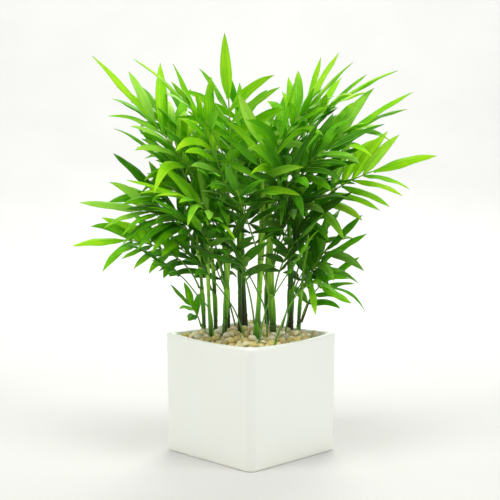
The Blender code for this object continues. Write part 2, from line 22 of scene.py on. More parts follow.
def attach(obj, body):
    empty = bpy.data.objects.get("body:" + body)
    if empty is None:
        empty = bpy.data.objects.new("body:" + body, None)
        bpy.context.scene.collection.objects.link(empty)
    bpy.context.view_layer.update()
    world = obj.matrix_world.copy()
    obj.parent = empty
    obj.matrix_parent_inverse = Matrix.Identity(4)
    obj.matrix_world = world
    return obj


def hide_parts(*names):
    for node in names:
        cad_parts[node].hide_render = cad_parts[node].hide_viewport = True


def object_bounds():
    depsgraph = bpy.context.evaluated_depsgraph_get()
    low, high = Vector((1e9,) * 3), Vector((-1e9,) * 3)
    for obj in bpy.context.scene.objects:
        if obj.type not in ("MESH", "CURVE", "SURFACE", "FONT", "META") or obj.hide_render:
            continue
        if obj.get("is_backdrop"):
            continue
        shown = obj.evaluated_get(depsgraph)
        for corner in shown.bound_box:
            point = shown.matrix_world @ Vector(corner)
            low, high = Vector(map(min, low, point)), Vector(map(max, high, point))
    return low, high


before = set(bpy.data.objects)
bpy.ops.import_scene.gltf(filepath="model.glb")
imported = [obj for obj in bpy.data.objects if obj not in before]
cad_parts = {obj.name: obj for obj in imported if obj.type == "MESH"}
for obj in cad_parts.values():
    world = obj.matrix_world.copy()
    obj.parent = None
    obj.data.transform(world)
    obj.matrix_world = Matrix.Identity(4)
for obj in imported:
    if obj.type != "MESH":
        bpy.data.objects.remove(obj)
cad_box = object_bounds()
print("packed nodes", len(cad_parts))

# %% [markdown]
# ## Camera
#
# The photograph looks at one corner of the planter from a little above. Fitting the
# planter's six outer corners gave the distance, height, tilt and focal length below.
# The planter stands square to X and Y, so its diagonals make handy axes: u runs to the
# right corner and v to the far one. All layout in this lesson is written in u, v and z.

# %% Axes and camera
FRAME_PIXELS = 500
FOCAL_PIXELS = 1323.6
CAMERA_DISTANCE = 1.58
CAMERA_HEIGHT = 0.435
CAMERA_TILT = math.radians(6.83)
CENTRE_PIXEL = 250.85
SENSOR = 36.0


def place(u, v, z):
    """A point given on the planter's diagonals, in world coordinates."""
    return Vector(((u - v) / math.sqrt(2), (u + v) / math.sqrt(2), z))


def add_camera():
    data = bpy.data.cameras.new("camera")
    data.sensor_width = SENSOR
    data.lens = FOCAL_PIXELS / FRAME_PIXELS * SENSOR
    data.shift_x = -(CENTRE_PIXEL - FRAME_PIXELS / 2) / FRAME_PIXELS
    camera = bpy.data.objects.new("camera", data)
    bpy.context.scene.collection.objects.link(camera)
    right, away, up = place(1, 0, 0), place(0, 1, 0), Vector((0, 0, 1))
    forward = away * math.cos(CAMERA_TILT) - up * math.sin(CAMERA_TILT)
    top = away * math.sin(CAMERA_TILT) + up * math.cos(CAMERA_TILT)
    stand = Matrix((right, top, -forward)).transposed().to_4x4()
    stand.translation = place(0, -CAMERA_DISTANCE, CAMERA_HEIGHT)
    camera.matrix_world = stand
    bpy.context.scene.camera = camera
    return camera


camera = add_camera()
print("camera", [round(x, 3) for x in camera.location])

# %% [markdown]
# ## Tools for materials
#
# Each material is a tree of nodes. Wiring is a thin helper that adds a node, sets its
# options and joins or fills its inputs, so that a whole effect reads as a few lines.
# Effects that several materials share are node groups, which put out colours, masks
# and heights, while the shader itself stays in each material.

# %% Wiring helper
class Wiring:
    """Adds nodes to a tree. Inputs are given as sockets, numbers or colours."""

    def __init__(self, tree):
        self.tree = tree

    def add(self, kind, options=None, **inputs):
        node = self.tree.nodes.new(kind)
        for key, value in (options or {}).items():
            setattr(node, key, value)
        for key, value in inputs.items():
            self.feed(node.inputs[key.replace("_", " ")], value)
        return node

    def feed(self, socket, value):
        if isinstance(value, bpy.types.NodeSocket):
            self.tree.links.new(value, socket)
        elif socket.type == "RGBA" and len(value) == 3:
            socket.default_value = (*value, 1.0)
        else:
            socket.default_value = value

    def maths(self, operation, *values, clamp=False):
        node = self.tree.nodes.new("ShaderNodeMath")
        node.operation = operation
        node.use_clamp = clamp
        for socket, value in zip(node.inputs, values):
            self.feed(socket, value)
        return node.outputs[0]

    def blend(self, share, first, second, way="MIX"):
        """A mix of two colours."""
        node = self.tree.nodes.new("ShaderNodeMix")
        node.data_type = "RGBA"
        node.blend_type = way
        for name, value in (("Factor_Float", share), ("A_Color", first), ("B_Color", second)):
            socket = next(s for s in node.inputs if s.identifier == name)
            self.feed(socket, value)
        return next(s for s in node.outputs if s.identifier == "Result_Color")

    def remap(self, value, low, high, to_low=0.0, to_high=1.0, smooth=False):
        node = self.add("ShaderNodeMapRange",
                        {"clamp": True, "interpolation_type": "SMOOTHSTEP" if smooth else "LINEAR"},
                        Value=value, From_Min=low, From_Max=high, To_Min=to_low, To_Max=to_high)
        return node.outputs["Result"]

    def ramp(self, value, stops, way="LINEAR"):
        """A colour from a list of (position, colour)."""
        node = self.add("ShaderNodeValToRGB", Fac=value)
        band = node.color_ramp
        band.interpolation = way
        while len(band.elements) < len(stops):
            band.elements.new(0.5)
        for element, (position, colour) in zip(band.elements, stops):
            element.position = position
            element.color = (*colour, 1.0)
        return node.outputs["Color"]

    def noise(self, vector, scale, detail=3.0, rough=0.55, distortion=0.0):
        node = self.add("ShaderNodeTexNoise", {"noise_dimensions": "3D"}, Vector=vector, Scale=scale,
                        Detail=detail, Roughness=rough, Distortion=distortion)
        return node.outputs["Fac"]

    def stretched(self, vector, scale):
        node = self.add("ShaderNodeMapping", Vector=vector, Scale=scale)
        return node.outputs["Vector"]

    def group(self, tree, **inputs):
        node = self.tree.nodes.new("ShaderNodeGroup")
        node.node_tree = tree
        for key, value in inputs.items():
            self.feed(node.inputs[key.replace("_", " ")], value)
        return node.outputs


def new_group(name, takes, gives):
    """An empty shader group with named sockets, its wiring, its inputs and its output node."""
    tree = bpy.data.node_groups.new(name, "ShaderNodeTree")
    for in_out, sockets in (("INPUT", takes), ("OUTPUT", gives)):
        for label, (kind, value) in sockets.items():
            socket = tree.interface.new_socket(label, in_out=in_out, socket_type=f"NodeSocket{kind}")
            if value is not None:
                socket.default_value = value
    wire = Wiring(tree)
    source = tree.nodes.new("NodeGroupInput")
    result = tree.nodes.new("NodeGroupOutput")
    return tree, wire, source.outputs, result.inputs


def new_material(name):
    """A material with its wiring and its Principled shader."""
    material = bpy.data.materials.new(name)
    material.use_nodes = True
    wire = Wiring(material.node_tree)
    return material, wire, material.node_tree.nodes["Principled BSDF"]


def bump(wire, height, strength, distance):
    node = wire.add("ShaderNodeBump", Height=height, Strength=strength, Distance=distance)
    return node.outputs["Normal"]


print("material tools ready")

# %% [markdown]
# ## Shared effects
#
# Three effects serve more than one finish. Mottle breaks up any colour with soft
# patches and fine grain. Streaks draws the long fibres of stems and sheaths. Veins
# draws the parallel veins of a palm leaflet from its own across and along coordinates,
# which every blade carries in a map named blade.

# %% Mottle, streaks and veins
def make_mottle():
    tree, wire, takes, gives = new_group(
        "mottle",
        {"Vector": ("Vector", None), "Patch Scale": ("Float", 30.0), "Grain Scale": ("Float", 400.0)},
        {"Patch": ("Float", None), "Grain": ("Float", None), "Height": ("Float", None)})
    patch = wire.noise(takes["Vector"], takes["Patch Scale"], detail=2.0)
    grain = wire.noise(takes["Vector"], takes["Grain Scale"], detail=4.0, rough=0.65)
    wire.feed(gives["Patch"], wire.remap(patch, 0.3, 0.7, smooth=True))
    wire.feed(gives["Grain"], wire.remap(grain, 0.3, 0.7))
    wire.feed(gives["Height"], wire.maths("MULTIPLY_ADD", patch, 0.6, wire.maths("MULTIPLY", grain, 0.4)))
    return tree


def make_streaks():
    tree, wire, takes, gives = new_group(
        "streaks",
        {"Vector": ("Vector", None), "Around": ("Float", 300.0), "Along": ("Float", 14.0)},
        {"Streak": ("Float", None), "Fleck": ("Float", None), "Height": ("Float", None)})
    scale = wire.add("ShaderNodeCombineXYZ", X=takes["Around"], Y=takes["Around"], Z=takes["Along"])
    vector = wire.stretched(takes["Vector"], scale.outputs[0])
    streak = wire.noise(vector, 1.0, detail=3.0, rough=0.6)
    fleck = wire.noise(wire.stretched(takes["Vector"], (900.0, 900.0, 260.0)), 1.0, detail=1.0)
    wire.feed(gives["Streak"], wire.remap(streak, 0.32, 0.68, smooth=True))
    wire.feed(gives["Fleck"], wire.remap(fleck, 0.62, 0.74, smooth=True))
    wire.feed(gives["Height"], streak)
    return tree


def make_veins():
    tree, wire, takes, gives = new_group(
        "veins",
        {"Across": ("Float", 0.5), "Along": ("Float", 0.5)},
        {"Midrib": ("Float", None), "Veins": ("Float", None), "Threads": ("Float", None)})
    off_middle = wire.maths("ABSOLUTE", wire.maths("SUBTRACT", takes["Across"], 0.5))
    midrib = wire.remap(off_middle, 0.015, 0.060, 1.0, 0.0, smooth=True)
    turns = wire.maths("MULTIPLY", off_middle, 2.0 * math.pi * 5.0)
    veins = wire.maths("POWER", wire.maths("MULTIPLY_ADD", wire.maths("COSINE", turns), 0.5, 0.5), 4.0)
    drift = wire.add("ShaderNodeCombineXYZ", X=wire.maths("MULTIPLY", takes["Across"], 26.0),
                     Y=wire.maths("MULTIPLY", takes["Along"], 2.2), Z=0.0)
    threads = wire.noise(drift.outputs[0], 1.6, detail=3.0, rough=0.7)
    wire.feed(gives["Midrib"], midrib)
    wire.feed(gives["Veins"], veins)
    wire.feed(gives["Threads"], wire.remap(threads, 0.3, 0.7))
    return tree


MOTTLE, STREAKS, VEINS = make_mottle(), make_streaks(), make_veins()
print("shared effects", [g.name for g in bpy.data.node_groups])

# %% [markdown]
# ## Leaf finish
#
# A living leaflet is a thin skin that glows when light comes through it, so its
# material mixes a Principled shader with a Translucent one. Young top fronds are lime,
# older inner ones are deep green, and blades deep inside the clump are darkened more as
# painted shade. Each leaflet carries its own age in a map named tone, and a colour ramp
# turns that age into a green. Midrib and veins are paler, the foot is darker, and the
# underside is duller and greyer than the upper face.

# %% Leaf materials
LEAF_GREENS = [
    (0.00, (0.004, 0.030, 0.001)),
    (0.28, (0.013, 0.105, 0.001)),
    (0.52, (0.050, 0.335, 0.002)),
    (0.74, (0.190, 0.650, 0.004)),
    (0.90, (0.380, 0.850, 0.006)),
    (1.00, (0.580, 0.920, 0.016)),
]
GLOW_GREENS = [
    (0.00, (0.012, 0.100, 0.001)),
    (0.45, (0.080, 0.430, 0.001)),
    (0.85, (0.330, 0.820, 0.006)),
    (1.00, (0.520, 0.920, 0.016)),
]
LEAF_PALE = (0.40, 0.78, 0.06)
LEAF_UNDER = (0.16, 0.42, 0.05)
# pale whitish green laid over some bright leaflets: painted sheen
LEAF_PAINTED_SHEEN = (0.44, 0.70, 0.15)
BLADE_MAP, TONE_MAP = "blade", "tone"


def make_blade_colour():
    tree, wire, takes, gives = new_group(
        "blade_colour",
        {"Age": ("Float", 0.5), "Hue": ("Float", 0.5), "Across": ("Float", 0.5), "Along": ("Float", 0.5),
         "Vector": ("Vector", None)},
        {"Colour": ("Color", None), "Gloss": ("Float", None), "Height": ("Float", None)})
    veins = wire.group(VEINS, Across=takes["Across"], Along=takes["Along"])
    mottle = wire.group(MOTTLE, Vector=takes["Vector"], Patch_Scale=55.0, Grain_Scale=900.0)
    age = wire.maths("MULTIPLY_ADD", wire.maths("SUBTRACT", takes["Along"], 0.5), 0.18, takes["Age"])
    age = wire.maths("MULTIPLY_ADD", wire.maths("SUBTRACT", mottle["Patch"], 0.5), 0.14, age)
    age = wire.maths("MULTIPLY_ADD", wire.maths("SUBTRACT", veins["Threads"], 0.5), 0.36, age)
    age = wire.maths("MULTIPLY_ADD", wire.maths("SUBTRACT", veins["Veins"], 0.35), 0.16, age)
    green = wire.ramp(age, LEAF_GREENS)
    # Painted sheen: brighter leaflets picked at random are washed pale in place of the white gloss on their skin.
    sheen_share = wire.remap(takes["Hue"], 0.55, 1.0, 0.0, 0.50, smooth=True)
    green = wire.blend(wire.maths("MULTIPLY", sheen_share, wire.maths("ADD", age, 0.1), clamp=True), green, LEAF_PAINTED_SHEEN)
    lines = wire.maths("MAXIMUM", wire.maths("MULTIPLY", veins["Midrib"], 0.42),
                       wire.maths("MULTIPLY", veins["Veins"], 0.32))
    green = wire.blend(lines, green, LEAF_PALE)
    tip = wire.remap(takes["Along"], 0.965, 1.0, 0.0, 0.55, smooth=True)
    green = wire.blend(tip, green, (0.42, 0.40, 0.12))
    wire.feed(gives["Colour"], green)
    wire.feed(gives["Gloss"], wire.remap(mottle["Grain"], 0.0, 1.0, 0.36, 0.50))
    height = wire.maths("MULTIPLY_ADD", veins["Veins"], 0.6, wire.maths("MULTIPLY", veins["Threads"], 0.3))
    wire.feed(gives["Height"], wire.maths("SUBTRACT", height, veins["Midrib"]))
    return tree


BLADE_COLOUR = make_blade_colour()


def make_leaf_material(name, wash, glow, roughness_add):
    """A leaf skin. wash is (share, colour) laid over the green, glow the translucent share."""
    material, wire, skin = new_material(name)
    blade = wire.add("ShaderNodeSeparateXYZ",
                     Vector=wire.add("ShaderNodeUVMap", {"uv_map": BLADE_MAP}).outputs["UV"])
    tone = wire.add("ShaderNodeSeparateXYZ",
                    Vector=wire.add("ShaderNodeUVMap", {"uv_map": TONE_MAP}).outputs["UV"])
    place_in = wire.add("ShaderNodeTexCoord").outputs["Object"]
    made = wire.group(BLADE_COLOUR, Age=tone.outputs["X"], Hue=tone.outputs["Y"],
                      Across=blade.outputs["X"], Along=blade.outputs["Y"], Vector=place_in)
    colour = wire.blend(wash[0], made["Colour"], wash[1])
    wire.feed(skin.inputs["Base Color"], colour)
    wire.feed(skin.inputs["Roughness"], wire.maths("ADD", made["Gloss"], roughness_add))
    wire.feed(skin.inputs["Normal"], bump(wire, made["Height"], 0.30, 0.0004))
    skin.inputs["Specular IOR Level"].default_value = 0.14
    sheer = wire.add("ShaderNodeBsdfTranslucent", Color=wire.ramp(tone.outputs["X"], GLOW_GREENS))
    mix = wire.add("ShaderNodeMixShader", Fac=glow)
    wire.feed(mix.inputs[1], skin.outputs["BSDF"])
    wire.feed(mix.inputs[2], sheer.outputs["BSDF"])
    wire.feed(material.node_tree.nodes["Material Output"].inputs["Surface"], mix.outputs[0])
    return material


leaf_upper = make_leaf_material("leaf_upper", (0.0, LEAF_PALE), 0.34, 0.0)
leaf_under = make_leaf_material("leaf_under", (0.16, LEAF_UNDER), 0.34, 0.12)
print("leaf materials", leaf_upper.name, leaf_under.name)

# %% [markdown]
# ## Stem finishes
#
# A stem is dark, brownish green at its foot and turns bright yellow-green where young
# leaf sheaths wrap it. Its map named tone holds how far up the plant a point is and how
# woody that stem is. Petioles share the fibres but keep one fresh green. The fallen
# leaf's dry stub is brown and split along its fibres.

# %% Stem materials
STEM_GREENS = [
    (0.00, (0.030, 0.024, 0.012)),
    (0.22, (0.026, 0.060, 0.009)),
    (0.50, (0.056, 0.200, 0.008)),
    (0.78, (0.170, 0.480, 0.012)),
    (1.00, (0.420, 0.760, 0.060)),
]


def make_stem_material(name, stops, roughness, fleck_colour, fleck_share):
    material, wire, skin = new_material(name)
    tone = wire.add("ShaderNodeSeparateXYZ",
                    Vector=wire.add("ShaderNodeUVMap", {"uv_map": TONE_MAP}).outputs["UV"])
    place_in = wire.add("ShaderNodeTexCoord").outputs["Object"]
    streaks = wire.group(STREAKS, Vector=place_in, Around=420.0, Along=16.0)
    age = wire.maths("MULTIPLY_ADD", wire.maths("SUBTRACT", streaks["Streak"], 0.5), 0.34,
                     tone.outputs["X"])
    green = wire.ramp(age, stops)
    flecks = wire.maths("MULTIPLY", streaks["Fleck"], fleck_share)
    colour = wire.blend(flecks, green, fleck_colour)
    ring = wire.maths("MULTIPLY", tone.outputs["Y"], 0.55)
    colour = wire.blend(ring, colour, (0.055, 0.050, 0.018))
    wire.feed(skin.inputs["Base Color"], colour)
    skin.inputs["Specular IOR Level"].default_value = 0.35
    wire.feed(skin.inputs["Roughness"], wire.remap(streaks["Streak"], 0.0, 1.0, roughness, roughness + 0.14))
    wire.feed(skin.inputs["Normal"], bump(wire, streaks["Height"], 0.4, 0.0004))
    return material


cane_skin = make_stem_material("cane_skin", STEM_GREENS, 0.38, (0.16, 0.30, 0.07), 0.4)
petiole_skin = make_stem_material("petiole_skin", [
    (0.00, (0.030, 0.120, 0.010)),
    (0.50, (0.085, 0.290, 0.012)),
    (1.00, (0.300, 0.560, 0.030)),
], 0.40, (0.36, 0.50, 0.12), 0.25)
dry_skin = make_stem_material("dry_skin", [
    (0.00, (0.040, 0.026, 0.012)),
    (0.50, (0.120, 0.085, 0.035)),
    (1.00, (0.300, 0.240, 0.110)),
], 0.62, (0.05, 0.03, 0.015), 0.7)
print("stem materials", cane_skin.name, petiole_skin.name, dry_skin.name)

# %% [markdown]
# ## Ceramic, stone and soil finishes
#
# The planter has a satin white glaze: nearly even, with a breath of cream, a few pin
# holes and a soft waviness that only shows in the gloss. A warm tint that grows towards
# the bottom of the wall is a painted reflection. Its unglazed foot is rougher.
# The stones come in cream, straw, ochre, tan and grey, each with its own mottling. The
# soil is a dark crumb with paler fibres.

# %% Ceramic, stone and soil materials
GLAZE = (0.810, 0.832, 0.795)
GLAZE_WARM = (0.790, 0.775, 0.680)
BISCUIT = (0.62, 0.59, 0.52)
STONE_COLOURS = [
    (0.00, (0.66, 0.57, 0.22)),
    (0.24, (0.74, 0.70, 0.45)),
    (0.42, (0.60, 0.50, 0.14)),
    (0.58, (0.68, 0.60, 0.27)),
    (0.72, (0.78, 0.77, 0.62)),
    (0.84, (0.40, 0.40, 0.27)),
    (0.92, (0.56, 0.42, 0.15)),
    (0.985, (0.52, 0.33, 0.14)),
]


def make_glaze():
    material, wire, skin = new_material("satin_white_glaze")
    place_in = wire.add("ShaderNodeTexCoord").outputs["Object"]
    mottle = wire.group(MOTTLE, Vector=place_in, Patch_Scale=16.0, Grain_Scale=620.0)
    height_up = wire.add("ShaderNodeSeparateXYZ", Vector=place_in).outputs["Z"]
    # The cream patches belong to the glaze; the warm tint towards the bottom of the wall is a painted reflection.
    cream_and_reflection = wire.maths("MULTIPLY_ADD", mottle["Patch"], 0.16,
                      wire.remap(height_up, 0.0, 0.03, 0.30, 0.0, smooth=True))
    pits = wire.add("ShaderNodeTexVoronoi", {"feature": "F1"}, Vector=place_in, Scale=190.0)
    pit = wire.remap(pits.outputs["Distance"], 0.04, 0.09, 1.0, 0.0, smooth=True)
    colour = wire.blend(cream_and_reflection, GLAZE, GLAZE_WARM)
    colour = wire.blend(wire.maths("MULTIPLY", pit, 0.10), colour, (0.45, 0.44, 0.38))
    wire.feed(skin.inputs["Base Color"], colour)
    wire.feed(skin.inputs["Roughness"], wire.remap(mottle["Grain"], 0.0, 1.0, 0.30, 0.42))
    height = wire.maths("SUBTRACT", wire.maths("MULTIPLY", mottle["Height"], 0.7), pit)
    wire.feed(skin.inputs["Normal"], bump(wire, height, 0.12, 0.0006))
    skin.inputs["Coat Weight"].default_value = 0.12
    skin.inputs["Coat Roughness"].default_value = 0.25
    return material


def make_biscuit():
    material, wire, skin = new_material("unglazed_foot")
    place_in = wire.add("ShaderNodeTexCoord").outputs["Object"]
    mottle = wire.group(MOTTLE, Vector=place_in, Patch_Scale=40.0, Grain_Scale=1200.0)
    wire.feed(skin.inputs["Base Color"], wire.blend(mottle["Grain"], BISCUIT, (0.70, 0.68, 0.62)))
    wire.feed(skin.inputs["Roughness"], wire.remap(mottle["Patch"], 0.0, 1.0, 0.78, 0.92))
    wire.feed(skin.inputs["Normal"], bump(wire, mottle["Height"], 0.35, 0.0006))
    return material


def make_stone_material():
    material, wire, skin = new_material("river_stone")
    tone = wire.add("ShaderNodeSeparateXYZ",
                    Vector=wire.add("ShaderNodeUVMap", {"uv_map": TONE_MAP}).outputs["UV"])
    place_in = wire.add("ShaderNodeTexCoord").outputs["Object"]
    mottle = wire.group(MOTTLE, Vector=place_in, Patch_Scale=210.0, Grain_Scale=1500.0)
    base = wire.ramp(tone.outputs["X"], STONE_COLOURS, "CONSTANT")
    shade = wire.remap(tone.outputs["Y"], 0.0, 1.0, 0.66, 1.20)
    stained = wire.blend(1.0, base, (0.72, 0.62, 0.40), "MULTIPLY")
    colour = wire.blend(wire.maths("MULTIPLY", mottle["Patch"], 0.55), base, stained)
    colour = wire.blend(wire.maths("MULTIPLY", mottle["Grain"], 0.10), colour, (0.85, 0.82, 0.66))
    tint = wire.add("ShaderNodeCombineXYZ", X=shade, Y=shade, Z=shade).outputs[0]
    colour = wire.blend(1.0, colour, tint, "MULTIPLY")
    wire.feed(skin.inputs["Base Color"], colour)
    wire.feed(skin.inputs["Roughness"], wire.remap(mottle["Grain"], 0.0, 1.0, 0.42, 0.66))
    wire.feed(skin.inputs["Normal"], bump(wire, mottle["Height"], 0.5, 0.0008))
    return material


def make_soil_material():
    material, wire, skin = new_material("soil_crumb")
    place_in = wire.add("ShaderNodeTexCoord").outputs["Object"]
    mottle = wire.group(MOTTLE, Vector=place_in, Patch_Scale=240.0, Grain_Scale=1300.0)
    colour = wire.blend(mottle["Patch"], (0.022, 0.015, 0.009), (0.060, 0.040, 0.022))
    fibre = wire.maths("GREATER_THAN", mottle["Grain"], 0.86)
    colour = wire.blend(wire.maths("MULTIPLY", fibre, 0.5), colour, (0.18, 0.12, 0.06))
    wire.feed(skin.inputs["Base Color"], colour)
    wire.feed(skin.inputs["Roughness"], wire.remap(mottle["Grain"], 0.0, 1.0, 0.85, 1.0))
    wire.feed(skin.inputs["Normal"], bump(wire, mottle["Height"], 0.9, 0.0015))
    return material


glaze, biscuit = make_glaze(), make_biscuit()
river_stone, soil_crumb = make_stone_material(), make_soil_material()
print("hard materials", glaze.name, biscuit.name, river_stone.name, soil_crumb.name)

# %% [markdown]
# ## A builder for pieces
#
# Blades, stems and stones are all grids of points. Shell collects such grids with their
# two maps and material numbers, and turns them into one mesh. A tube is a grid whose
# last column joins its first. Keeping every grid closed gives each piece a true solid
# skin with no loose edges.

# %% Shell builder
class Shell:
    """Collects closed skins, and turns them into one piece."""

    def __init__(self):
        self.points, self.blade, self.tone = [], [], []
        self.faces, self.finish = [], []

    def add_points(self, points, blade, tone):
        """Points (n, 3) with their maps, given for each point or once for all."""
        first = len(self.points)
        count = len(points)
        self.points.extend(map(tuple, points))
        self.blade.extend(map(tuple, np.broadcast_to(blade, (count, 2))))
        self.tone.extend(map(tuple, np.broadcast_to(tone, (count, 2))))
        return first

    def add_faces(self, faces, finish):
        self.faces.extend(faces)
        self.finish.extend([finish] * len(faces))

    def tube(self, rows, blade, tone, finish=0):
        """rows is (stations, around, 3). The ends are closed with fans round a middle point."""
        stations, around = rows.shape[:2]
        start = self.add_points(rows.reshape(-1, 3), blade.reshape(-1, 2), tone.reshape(-1, 2))
        quads = []
        for i in range(stations - 1):
            for j in range(around):
                a, b = start + i * around + j, start + i * around + (j + 1) % around
                quads.append((a, b, b + around, a + around))
        self.add_faces(quads, finish)
        for row, flip in ((0, True), (stations - 1, False)):
            middle = self.add_points(rows[row].mean(0)[None], blade[row].mean(0), tone[row].mean(0))
            ring = [start + row * around + j for j in range(around)]
            fan = [(ring[j], ring[(j + 1) % around], middle) for j in range(around)]
            self.add_faces([f[::-1] for f in fan] if flip else fan, finish)

    def sheet(self, upper, lower, blade, tone, finish_upper, finish_lower):
        """Two grids (rows, columns, 3), one over the other, closed round their edge."""
        rows, columns = upper.shape[:2]
        top = self.add_points(upper.reshape(-1, 3), blade.reshape(-1, 2), tone)
        low = self.add_points(lower.reshape(-1, 3), blade.reshape(-1, 2), tone)
        cells = [(i * columns + j, i * columns + j + 1, (i + 1) * columns + j + 1, (i + 1) * columns + j)
                 for i in range(rows - 1) for j in range(columns - 1)]
        self.add_faces([tuple(top + x for x in c) for c in cells], finish_upper)
        self.add_faces([tuple(low + x for x in reversed(c)) for c in cells], finish_lower)
        edge = [j for j in range(columns)]
        edge += [i * columns + columns - 1 for i in range(1, rows)]
        edge += [(rows - 1) * columns + j for j in range(columns - 2, -1, -1)]
        edge += [i * columns for i in range(rows - 2, 0, -1)]
        sides = [(top + a, low + a, low + b, top + b) for a, b in zip(edge, edge[1:] + edge[:1])]
        self.add_faces([s[::-1] for s in sides], finish_lower)

    def piece(self, name, materials, nodes):
        """The finished object: it rides on the plant's one body and stands for its nodes."""
        mesh = bpy.data.meshes.new(name)
        mesh.from_pydata(self.points, [], self.faces)
        for material in materials:
            mesh.materials.append(material)
        mesh.polygons.foreach_set("material_index", np.array(self.finish, np.int32))
        mesh.polygons.foreach_set("use_smooth", np.ones(len(self.faces), bool))
        corners = np.zeros(len(mesh.loops), np.int32)
        mesh.loops.foreach_get("vertex_index", corners)
        for map_name, values in ((BLADE_MAP, self.blade), (TONE_MAP, self.tone)):
            layer = mesh.uv_layers.new(name=map_name)
            layer.uv.foreach_set("vector", np.array(values, np.float32)[corners].ravel())
        mesh.update()
        item = bpy.data.objects.new(name, mesh)
        bpy.context.scene.collection.objects.link(item)
        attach(item, "root")
        if nodes:
            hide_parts(*nodes)
        return item


def triangles(item):
    return sum(len(p.vertices) - 2 for p in item.data.polygons)


print("shell builder ready")

# %% [markdown]
# ## Planter
#
# The planter is a slip-cast cube: soft upright corners, a wall about 7 mm thick, a
# fully rounded lip that rises a little towards the corners, and a flat base with a
# shallow recess inside its foot ring. It is made by carrying one rounded-square loop
# along the wall's profile, from the middle of the underside, up the outside, over the
# lip and down the inside to its floor.

# %% Planter
POT_SIDE, POT_BASE_SIDE, POT_HEIGHT = 0.150, 0.1475, 0.143
POT_WALL, POT_FLOOR = 0.0073, 0.009
POT_CORNER, CAVITY_CORNER = 0.010, 0.016
CORNER_LIFT = 0.0030
CORNER_POINTS, SIDE_POINTS = 12, 18


def rounded_square(side, corner):
    """Points round a square with rounded corners, (n, 2), all the way round."""
    half = side / 2 - corner
    points = []
    for quarter in range(4):
        start = quarter * math.pi / 2
        middle = np.array([math.cos(start + math.pi / 4), math.sin(start + math.pi / 4)])
        centre = np.sign(middle) * half
        for i in range(CORNER_POINTS):
            angle = start + math.pi / 2 * i / (CORNER_POINTS - 1)
            points.append(centre + corner * np.array([math.cos(angle), math.sin(angle)]))
        step = np.array([-math.sin(start + math.pi / 2), math.cos(start + math.pi / 2)])
        for i in range(1, SIDE_POINTS):
            points.append(points[-1] + step * 2 * half / SIDE_POINTS)
    return np.array(points)


def cornerness(loop):
    """0 at the middle of a side and 1 at a corner."""
    high = np.abs(loop).max(1)
    return (np.abs(loop).min(1) / np.maximum(high, 1e-9)) ** 2


def wall_side(z):
    return POT_BASE_SIDE + (POT_SIDE - POT_BASE_SIDE) * z / POT_HEIGHT


def planter_profile():
    """Rows of (side, corner radius, height, lift share) from under the base to the inner floor."""
    base, edge = POT_BASE_SIDE, 0.0022
    rows = [(0.10, 0.008, 0.0009, 0), (base - 0.022, 0.006, 0.0009, 0), (base - 0.0205, 0.006, 0.0, 0)]
    for i in range(6):
        angle = math.pi / 2 * i / 5
        rows.append((base - 2 * edge * (1 - math.sin(angle)), POT_CORNER - edge * (1 - math.sin(angle)),
                     edge * (1 - math.cos(angle)), 0))
    for share in np.linspace(0.08, 0.95, 14):
        z = POT_HEIGHT * share
        rows.append((wall_side(z), POT_CORNER, z, max(0.0, (share - 0.5) / 0.5) ** 2))
    lip = POT_WALL / 2
    for i in range(13):
        angle = math.pi * i / 12
        inset = lip * (1 - math.cos(angle))
        rows.append((POT_SIDE - 2 * inset, POT_CORNER + (CAVITY_CORNER - POT_CORNER) * i / 12,
                     POT_HEIGHT - lip * 0.8 * (1 - math.sin(angle)), 1))
    for share in (0.90, 0.80, 0.5, 0.2):
        z = POT_HEIGHT * share
        rows.append((wall_side(z) - 2 * POT_WALL, CAVITY_CORNER, z, max(0.0, (share - 0.5) / 0.5)))
    rows.append((wall_side(0.012) - 2 * POT_WALL, CAVITY_CORNER, POT_FLOOR + 0.003, 0))
    rows.append((wall_side(0.012) - 2 * POT_WALL - 0.006, CAVITY_CORNER - 0.003, POT_FLOOR, 0))
    return rows


def make_planter():
    loops = []
    for side, corner, z, lift in planter_profile():
        loop = rounded_square(side, corner)
        heights = z + CORNER_LIFT * lift * cornerness(loop)
        loops.append(np.column_stack([loop, heights]))
    rows = np.array(loops)
    shell = Shell()
    flat = np.zeros((*rows.shape[:2], 2))
    shell.tube(rows, flat, flat)
    around = rows.shape[1]
    under = 2 * around
    for i in range(under):
        shell.finish[i] = 1
    for i, face in enumerate(shell.faces):
        if len(face) == 3 and min(shell.points[v][2] for v in face) < 0.002:
            shell.finish[i] = 1
    return shell.piece("planter", [glaze, biscuit], ["pot"])


planter = make_planter()
print("planter", triangles(planter), "triangles")

# %% [markdown]
# ## Canes
#
# Each stem of the clump has its own foot, top and thickness. A palm stem grows from its
# tip: every fallen leaf leaves a ring, and the youngest leaves still wrap the upper part
# in smooth sheaths. The bare cane is a tube with swollen rings. Each sheath is a sleeve
# just outside it, with a slanting mouth where the petiole leaves. A closed young leaf
# stands as a thin spear at the very top.

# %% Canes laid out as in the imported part
GAP = 0.0003
SOIL_TOP, CANE_DEPTH, BORE_OVERRUN = 0.120, 0.032, 0.008
CANE_RING_PITCH, CANE_RING_SWELL = 0.040, 1.16
FIRST_RING, FIRST_RING_STEP = 0.75, 0.07
CANE_TIP_SCALE, CANE_BOW = 0.6, 0.002

